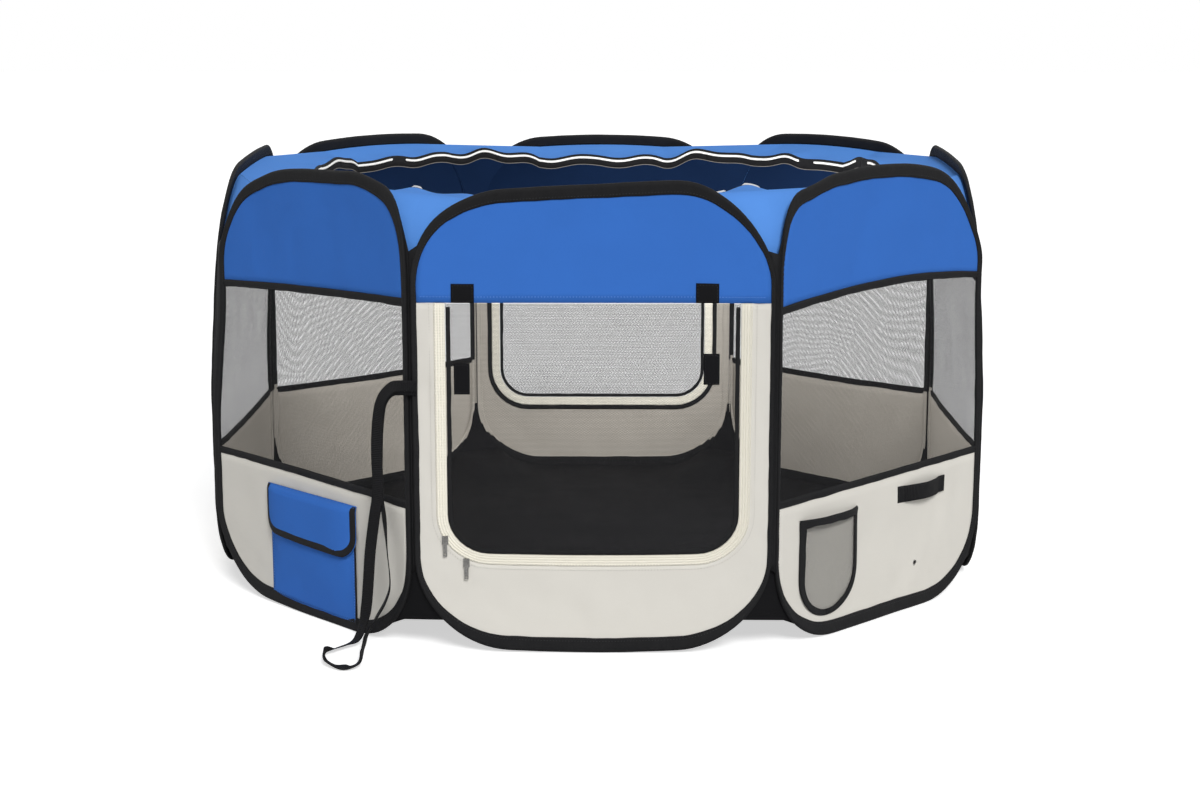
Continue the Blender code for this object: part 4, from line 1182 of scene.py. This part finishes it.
def dress_loop():
    """The webbing loop, sewn flat at both ends."""
    k = FRONT_RIGHT
    middle_x, middle_z = LOOP_CENTRE

    def cell(down, along):
        x = middle_x + LOOP_LENGTH * (along - 0.5)
        z = middle_z + (1 - 2 * down) * LOOP_WIDTH / 2 + 0.0008 * ripple(x, 0, 0.03, 8.2)
        across = min(abs(x - middle_x) / (LOOP_LENGTH / 2 - LOOP_SEWN), 1.0)
        depth = -FACE - WEBBING / 2 - LOOP_BULGE * math.cos(math.pi / 2 * across) ** 0.8
        return on_panel(k, x, depth + 0.0004 * ripple(x, z, 0.012, 8.8), z), (x, z)

    cloth_piece("loop", grid(shares(6), shares(48)[::-1], cell), "webbing", "front_right", "black_webbing",
                "webbing_loop", "stretched", "lower_front_right", thickness=WEBBING)
    for side, outwards in (("left", -1), ("right", 1)):
        centre = (middle_x + outwards * (LOOP_LENGTH - LOOP_SEWN) / 2, middle_z)
        line = patch_border(centre, (LOOP_SEWN, LOOP_WIDTH), 0.002)
        sew("loop_thread_" + side, k, line, 0.0, -FACE - WEBBING - 0.0002, "black thread", "front_right",
            closed=True)


# Floor and collar: one piece for each panel, out to the middle of each corner beside it

FLOOR_SEAT = 0.003
FLOOR_REST = 0.0014        # height of the floor's cloth
CORNER_ROWS = 12
CORNER_COLUMNS = 8
GUSSET_DEPTH = 0.0024      # from the panel's middle in to the gussets
FOLD_DEPTH = 0.0022        # from a gusset in to the slack fold behind it
LOW_START = math.radians(43)   # how far up the hoops' bends the drawn up floor corners begin
FLOOR_FALL = 3.0           # the floor lies flat from a third of its way in


def bend_point(k, side, inset, angle, low):
    """A point on the bend of panel k's hoop where a gusset is sewn, up from its level run by an angle."""
    radius = CORNER_RADIUS - inset
    rise = CORNER_RADIUS - radius * math.cos(angle)
    half = panel_width(k) / 2 - SEAM_GAP - CORNER_RADIUS
    return on_panel(k, side * (half + radius * math.sin(angle)), GUSSET_DEPTH,
                    rise if low else PEN_HEIGHT - rise)


def corner_rungs(k, inset, low):
    """Pairs of points on the bends of panels k and k + 1, from the gusset's edge to their seam."""
    start = LOW_START if low else 0.0
    angles = [start + (math.pi / 2 - start) * share for share in shares(CORNER_ROWS)]
    return [(bend_point(k, 1, inset, angle, low), bend_point((k + 1) % COUNT, -1, inset, angle, low))
            for angle in angles]


def middles(pairs):
    """The middle of each pair of points."""
    return [one.lerp(other, 0.5) for one, other in pairs]


def corner_sheet(k, side, inset, low, shift):
    """The patch of panel k's half of the gusset at its left or right corner, its weave moved by shift."""
    pairs = corner_rungs(k if side > 0 else (k - 1) % COUNT, inset, low)
    centres = middles(pairs)
    starts = [pair[0] if side > 0 else pair[1] for pair in pairs]

    def cell(rung, share):
        own, centre, reach = rung
        point = own.lerp(centre, share)
        return point, (shift - side * (point - centre).length, -reach)

    columns = shares(CORNER_COLUMNS)
    if (side > 0) != low:
        columns.reverse()
    return grid(list(zip(starts, centres, lengths(centres))), columns, cell)


def panel_patches(k, patch, inset, low, half):
    """A panel's own patch and its halves of the gussets beside it."""
    return [patch, corner_sheet(k, 1, inset, low, half), corner_sheet(k, -1, inset, low, -half)]


def rim_points(k, inset, low, step):
    """Points along panel k's run and half of the corner on each side of it, from left to right."""
    left = corner_rungs((k - 1) % COUNT, inset, low)[0]
    right = corner_rungs(k, inset, low)[0]
    half = panel_width(k) / 2 - SEAM_GAP - CORNER_RADIUS
    z = inset if low else PEN_HEIGHT - inset
    run_steps = round(2 * half / step)
    corner_steps = round((left[0] - left[1]).length / 2 / step)
    bend = LOW_START if low else 0.0
    bend_steps = round(bend * CORNER_RADIUS / step)
    run = [on_panel(k, half * (2 * share - 1), GUSSET_DEPTH, z) for share in shares(run_steps)]
    first = [left[0].lerp(left[1], 0.5 + 0.5 * i / corner_steps) for i in range(corner_steps)]
    last = [right[0].lerp(right[1], 0.5 * (i + 1) / corner_steps) for i in range(corner_steps)]
    down = [bend_point(k, -1, inset, bend * (1 - i / bend_steps), low) for i in range(bend_steps)]
    up = [bend_point(k, 1, inset, bend * (i + 1) / bend_steps, low) for i in range(bend_steps)]
    return first + down + run + up + last


def fold_to_panel(piece, k):
    """Ride on panel k, with its own copy of its mesh."""
    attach(piece, PANELS[k])
    flatten(piece, on_panel(k, 0, 0, 0))


def gusset_fold(k, inset, low, name, material):
    """Slack cloth inside the gusset between panels k and k + 1, across their hinge."""
    pairs = corner_rungs(k, inset, low)
    centres = middles(pairs)
    inwards = -centres[0]
    inwards.z = 0
    inwards.normalize()

    def cell(rung, share):
        (own, other), reach = rung
        point = own.lerp(other, share) + inwards * FOLD_DEPTH
        return point, ((own - other).length * (share - 0.5), reach)

    rungs = list(zip(pairs, lengths(centres)))[:-2]
    columns = [0.04 + 0.92 * share for share in shares(2 * CORNER_COLUMNS)]
    piece = surface(name + PANELS[k], grid(rungs, columns, cell), material)
    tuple(pairs[0][0])
    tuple(pairs[0][1])
    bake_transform(piece)
    declare_sheet(piece)


def dress_floor():
    """The sewn floor, with its corners drawn up between the hoops."""
    for k in range(COUNT):
        rim = rim_points(k, FLOOR_SEAT, True, 0.025)
        width = (rim[-1] - rim[0]).length

        def cell(share, rim_spot):
            across, point = rim_spot
            spot = point.lerp(Vector((0, 0, 0)), share)
            waves = ripple(spot.x, spot.y, 0.16, 9.1) + 0.5 * ripple(spot.x, spot.y, 0.06, 9.7)
            drawn_up = point.z * (1 - smooth(FLOOR_FALL * share))
            spot.z = FLOOR_REST + drawn_up + smooth(4 * share) * 0.0030 * max(0.0, waves + 0.35)
            return spot, (width * (across - 0.5) * (1 - share), share * panel_distance(k))

        patch = grid(shares(22), list(zip(shares(len(rim) - 1), rim)), cell)
        piece = patched("floor_" + PANELS[k], panel_patches(k, patch, FLOOR_SEAT, True, width / 2), "floor")
        fold_to_panel(piece, k)
        if k == FRONT:
            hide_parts("floor_sheet")
        declare_sheet(piece)
        if k % 2 == 0 and k != BACK:
            gusset_fold(k, FLOOR_SEAT, True, "floor_fold_", "floor")


COIL = (0.0019, 0.0014)    # half height and half thickness of the white coil
COIL_DROP = 0.0050         # below the collar's free edge
COIL_STANDING = (0.0036, 0.0064)   # how far inwards it stands, and by how much less where it is tucked
PEEK_RISE = 0.0058         # how much higher it stands where it peeks out
TUCK_EASE = 0.006
EDGE_TAPE = 0.0175         # black tape that hangs from the free edge
TAPE_SLOPE = 0.06          # inwards for each metre down the tape
CORNER_LIFT = 0.010        # the free edge stands higher across a corner
SEWING = 0.0006            # half thickness of the overlocked thread under the tape
# Where across the pen the tape rolls over the coil behind, and where the coil peeks out in front, with
# half lengths
COIL_TUCKS = ((-0.339, 0.006), (0.345, 0.008), (0.422, 0.003), (0.468, 0.003), (-0.447, 0.003))
COIL_PEEKS = ((0.160, 0.011), (0.207, 0.011), (-0.236, 0.005))


def collar_edges(k):
    """Sewn and free edge of panel k's part of the collar, and how far along the fold's turns each is."""
    left = corner_rungs((k - 1) % COUNT, COLLAR_SEAT, False)[0]
    right = corner_rungs(k, COLLAR_SEAT, False)[0]
    shifts = [PLACES[i % COUNT].to_3x3() @ Vector((0, COLLAR_WIDTH, -COLLAR_DROP))
              for i in (k - 1, k, k + 1)]
    ends = (left, (left[1], right[0]), right)
    points = []
    for point in rim_points(k, COLLAR_SEAT, False, 0.007):
        spans = []
        for number, (start, end) in enumerate(ends):
            way = end - start
            spans.append((number, (point - start).dot(way) / way.length_squared))
        number, share = next(((n, t) for n, t in spans if -1e-4 <= t <= 1.0001), (1, 0.5))
        if number == 1:
            shift, lift = shifts[1], 0.0
        else:
            first = number // 2
            shift, lift = shifts[first].lerp(shifts[first + 1], share), math.sin(math.pi * share)
        points.append((point, point + shift + UP * CORNER_LIFT * lift, FOLDS_PER_RUN * share))
    return points


def free_wave(point, turn):
    """Height of the free edge's waves, which are never quite even."""
    slow = ripple(point.x, point.y, 0.11, 10.3)
    quick = ripple(point.y, point.x, 0.045, 11.9)
    calm = 1 - 0.6 * smooth((abs(point.x) - 0.32) / 0.08)
    return calm * FOLD_HEIGHT * (math.sin(math.tau * turn) * (0.45 + 0.7 * slow) + 0.9 * slow + 0.5 * quick)


def dress_collar():
    """The collar, its corner gussets, the black tape round its free edge and the coil on the tape."""
    for k in range(COUNT):
        edges = collar_edges(k)
        reach = lengths([sewn for sewn, _, _ in edges])
        half = reach[-1] / 2

        def cell(share, spot):
            (sewn, free, turn), along = spot
            point = sewn.lerp(free, share)
            point.z += free_wave(free, turn) * share ** 1.6 - 0.004 * math.sin(math.pi * share)
            return point, (along - half, share * COLLAR_WIDTH)

        patch = grid(shares(8), list(zip(edges, reach)), cell)
        piece = patched("collar_" + PANELS[k], panel_patches(k, patch, COLLAR_SEAT, False, half),
                        "light blue", thickness=FABRIC, lining="lining", rim=False)
        fold_to_panel(piece, k)
        if k == FRONT:
            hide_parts("top_collar")
        declare_sheet(piece)
        if k % 2 == 0 and k != BACK:
            # the slack collar fold takes the navy with painted shade
            gusset_fold(k, COLLAR_SEAT, False, "collar_fold_", "lining")
        dress_collar_edge(k, patch[0][-1], reach)


def near_any(x, places):
    """1 within any of the places, with soft ends."""
    return max(smooth((half + TUCK_EASE - abs(x - place)) / TUCK_EASE) for place, half in places)


def ring_row(middle, way, height, thick, sides):
    """Points of an upright ring round a middle, from the one along way."""
    turns = [math.tau * i / sides for i in range(sides)]
    return [middle + UP * height * math.sin(turn) + way * thick * math.cos(turn) for turn in turns]


def dress_collar_edge(k, edge, reach):
    """Black tape that hangs from the collar's free edge, the coil on its inner side, and its thread."""
    towards = [(Vector((-point.x, -point.y, 0))).normalized() for point in edge]
    rows, uvs = [], []
    for drop in (EDGE_TAPE, 0.009, 0.004, -0.0006):
        rows.append([point + way * (0.0014 + TAPE_SLOPE * drop) - UP * drop
                     for point, way in zip(edge, towards)])
        uvs.append([(along, drop) for along in reach])
    piece = surface("collar_tape_" + PANELS[k], (rows, uvs), "tape", thickness=FABRIC)
    fold_to_panel(piece, k)
    sides = 8
    rows = []
    for point, way in zip(edge, towards):
        tucked = near_any(point.x, COIL_TUCKS) if point.y > -0.1 else 0.0
        peeking = near_any(point.x, COIL_PEEKS) if point.y < -0.1 else 0.0
        inwards = COIL_STANDING[0] - COIL_STANDING[1] * tucked
        middle = point + way * inwards - UP * (COIL_DROP - PEEK_RISE * peeking)
        rows.append(ring_row(middle, way, *COIL, sides))
    uvs = [[(along, 0.012 * i / sides) for i in range(sides + 1)] for along in reach]
    piece = surface("collar_coil_" + PANELS[k], (rows, uvs), "coil", ring=True)
    fold_to_panel(piece, k)
    rows = []
    for point, way in zip(edge, towards):
        middle = point + way * (0.0016 + TAPE_SLOPE * EDGE_TAPE) - UP * (EDGE_TAPE - 0.0004)
        rows.append(ring_row(middle, way, SEWING, SEWING, 6))
    uvs = [[(along, 0.0005 * i) for i in range(7)] for along in reach]
    piece = surface("collar_thread_" + PANELS[k], (rows, uvs), "grey thread", ring=True)
    fold_to_panel(piece, k)


STRAP_STEPS = 8
STRAP_COLUMNS = 6


def strap_line():
    """Points and width directions along a smooth curve through the strap's route."""
    foot = PLACES[FRONT] @ Vector((-panel_width(FRONT) / 2, 0, 0))
    points = [foot + Vector(entry[:3]) for entry in STRAP_ROUTE]
    widths = [entry[3].normalized() for entry in STRAP_ROUTE]
    padded = [2 * points[0] - points[1]] + points + [2 * points[-1] - points[-2]]
    line = []
    for i in range(len(points) - 1):
        for t in shares(STRAP_STEPS)[:-1]:
            line.append((spline(*padded[i:i + 4], t), widths[i].lerp(widths[i + 1], smooth(t))))
    return line + [(points[-1], widths[-1])]


def dress_strap():
    """The carrying strap's webbing."""
    line = strap_line()
    last = len(line) - 1
    reach = lengths([point for point, _ in line])
    rows = []
    for i, (point, width) in enumerate(line):
        tangent = (line[min(i + 1, last)][0] - line[max(i - 1, 0)][0]).normalized()
        across = (width - width.dot(tangent) * tangent).normalized() * STRAP_WIDTH / 2
        rows.append([point + across * (2 * share - 1) for share in shares(STRAP_COLUMNS)])
    uvs = [[(along, STRAP_WIDTH * share) for share in shares(STRAP_COLUMNS)] for along in reach]
    cloth_piece("strap", (rows, uvs), "webbing", "front", "black_webbing", "carry_strap", "hung",
                "binding_front", thickness=WEBBING)


# Stage

FLOOR_REACH = 30.0
FLOOR_GREY = (0.86, 0.86, 0.86, 1.0)
FLOOR_GLOW = 0.60          # what the camera sees on top of the lit floor
WORLD_LEVEL = 0.24         # light from all sides, where the camera sees white
KEY = (2.20, 20, (0.22, -0.75, 0.62))          # strength, softness in degrees, where it comes from
INNER_LAMP = (9.0, 0.10, (0.12, 0.05, 0.42))   # strength, radius and place of a lamp inside the pen
LENS = 59.61
CAMERA_PLACE = (0.0375, -3.0258, 0.804)
CAMERA_TURN = (90 - 10.75, 0, 0.66)            # degrees


def make_floor():
    """A white floor that shows shadows."""
    mesh = bpy.data.meshes.new("stage_floor")
    corners = [(x * FLOOR_REACH, y * FLOOR_REACH, 0) for x, y in ((-1, -1), (1, -1), (1, 1), (-1, 1))]
    mesh.from_pydata(corners, [], [(0, 1, 2, 3)])
    floor = add_object("stage_floor", mesh)
    floor.location.z = -0.0005
    material, nodes, _ = new_material("stage floor", Base_Color=FLOOR_GREY, Roughness=0.9,
                                      Specular_IOR_Level=0.0)
    seen = nodes.add("LightPath", output="Is Camera Ray")
    glow = nodes.add("Emission", {"Color": WHITE, "Strength": nodes.math("MULTIPLY", seen, FLOOR_GLOW)})
    total = nodes.add("AddShader", {0: nodes.shade(), 1: glow})
    nodes.set(nodes.tree.nodes["Material Output"], {"Surface": total})
    mesh.materials.append(material)


def make_world():
    """White round the camera and in reflections, and dimmer as a light."""
    world = bpy.data.worlds.new("studio")
    world.use_nodes = True
    bpy.context.scene.world = world
    nodes = Nodes(world.node_tree)
    seen = nodes.math("MAXIMUM", nodes.add("LightPath", output="Is Camera Ray"),
                      nodes.add("LightPath", output="Is Glossy Ray"))
    level = nodes.span(seen, WORLD_LEVEL, 1.0)
    nodes.set(nodes.tree.nodes["Background"], {"Color": WHITE, "Strength": level})


def make_lights():
    """A soft sun, and a lamp inside the pen."""
    data = bpy.data.lights.new("key", "SUN")
    data.energy = KEY[0]
    data.angle = math.radians(KEY[1])
    sun = add_object("key", data)
    sun.rotation_mode = "QUATERNION"
    sun.rotation_quaternion = Vector(KEY[2]).to_track_quat("Z", "Y")
    sun.location = Vector(KEY[2]) * 3
    data = bpy.data.lights.new("inner", "POINT")
    data.energy, data.shadow_soft_size = INNER_LAMP[:2]
    lamp = add_object("inner", data)
    lamp.location = INNER_LAMP[2]
    lamp.visible_camera = False
    lamp.visible_glossy = False


def make_camera():
    """The photo's camera."""
    data = bpy.data.cameras.new("camera")
    data.sensor_width = 36.0
    data.lens = LENS
    camera = add_object("camera", data)
    camera.location = CAMERA_PLACE
    camera.rotation_euler = [math.radians(angle) for angle in CAMERA_TURN]
    bpy.context.scene.camera = camera
    bpy.context.scene.view_settings.view_transform = "Standard"


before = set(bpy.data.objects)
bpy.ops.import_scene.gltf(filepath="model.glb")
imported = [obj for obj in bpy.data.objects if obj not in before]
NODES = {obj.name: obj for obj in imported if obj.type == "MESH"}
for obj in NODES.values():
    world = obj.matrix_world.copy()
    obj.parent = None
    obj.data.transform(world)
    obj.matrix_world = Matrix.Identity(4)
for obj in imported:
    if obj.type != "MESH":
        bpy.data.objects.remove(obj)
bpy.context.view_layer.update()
MATERIALS = make_materials()
make_floor()
make_world()
make_lights()
make_camera()
for k in range(COUNT):
    dress_hoop(k)
for k in WINDOW_PANELS:
    dress_window_panel(k)
for k in DOOR_PANELS:
    dress_door_panel(k)
dress_tabs()
dress_zip_metal()
dress_eyelet()
dress_pocket()
dress_net_pocket()
dress_loop()
dress_floor()
dress_collar()
dress_strap()

bpy.context.view_layer.update()
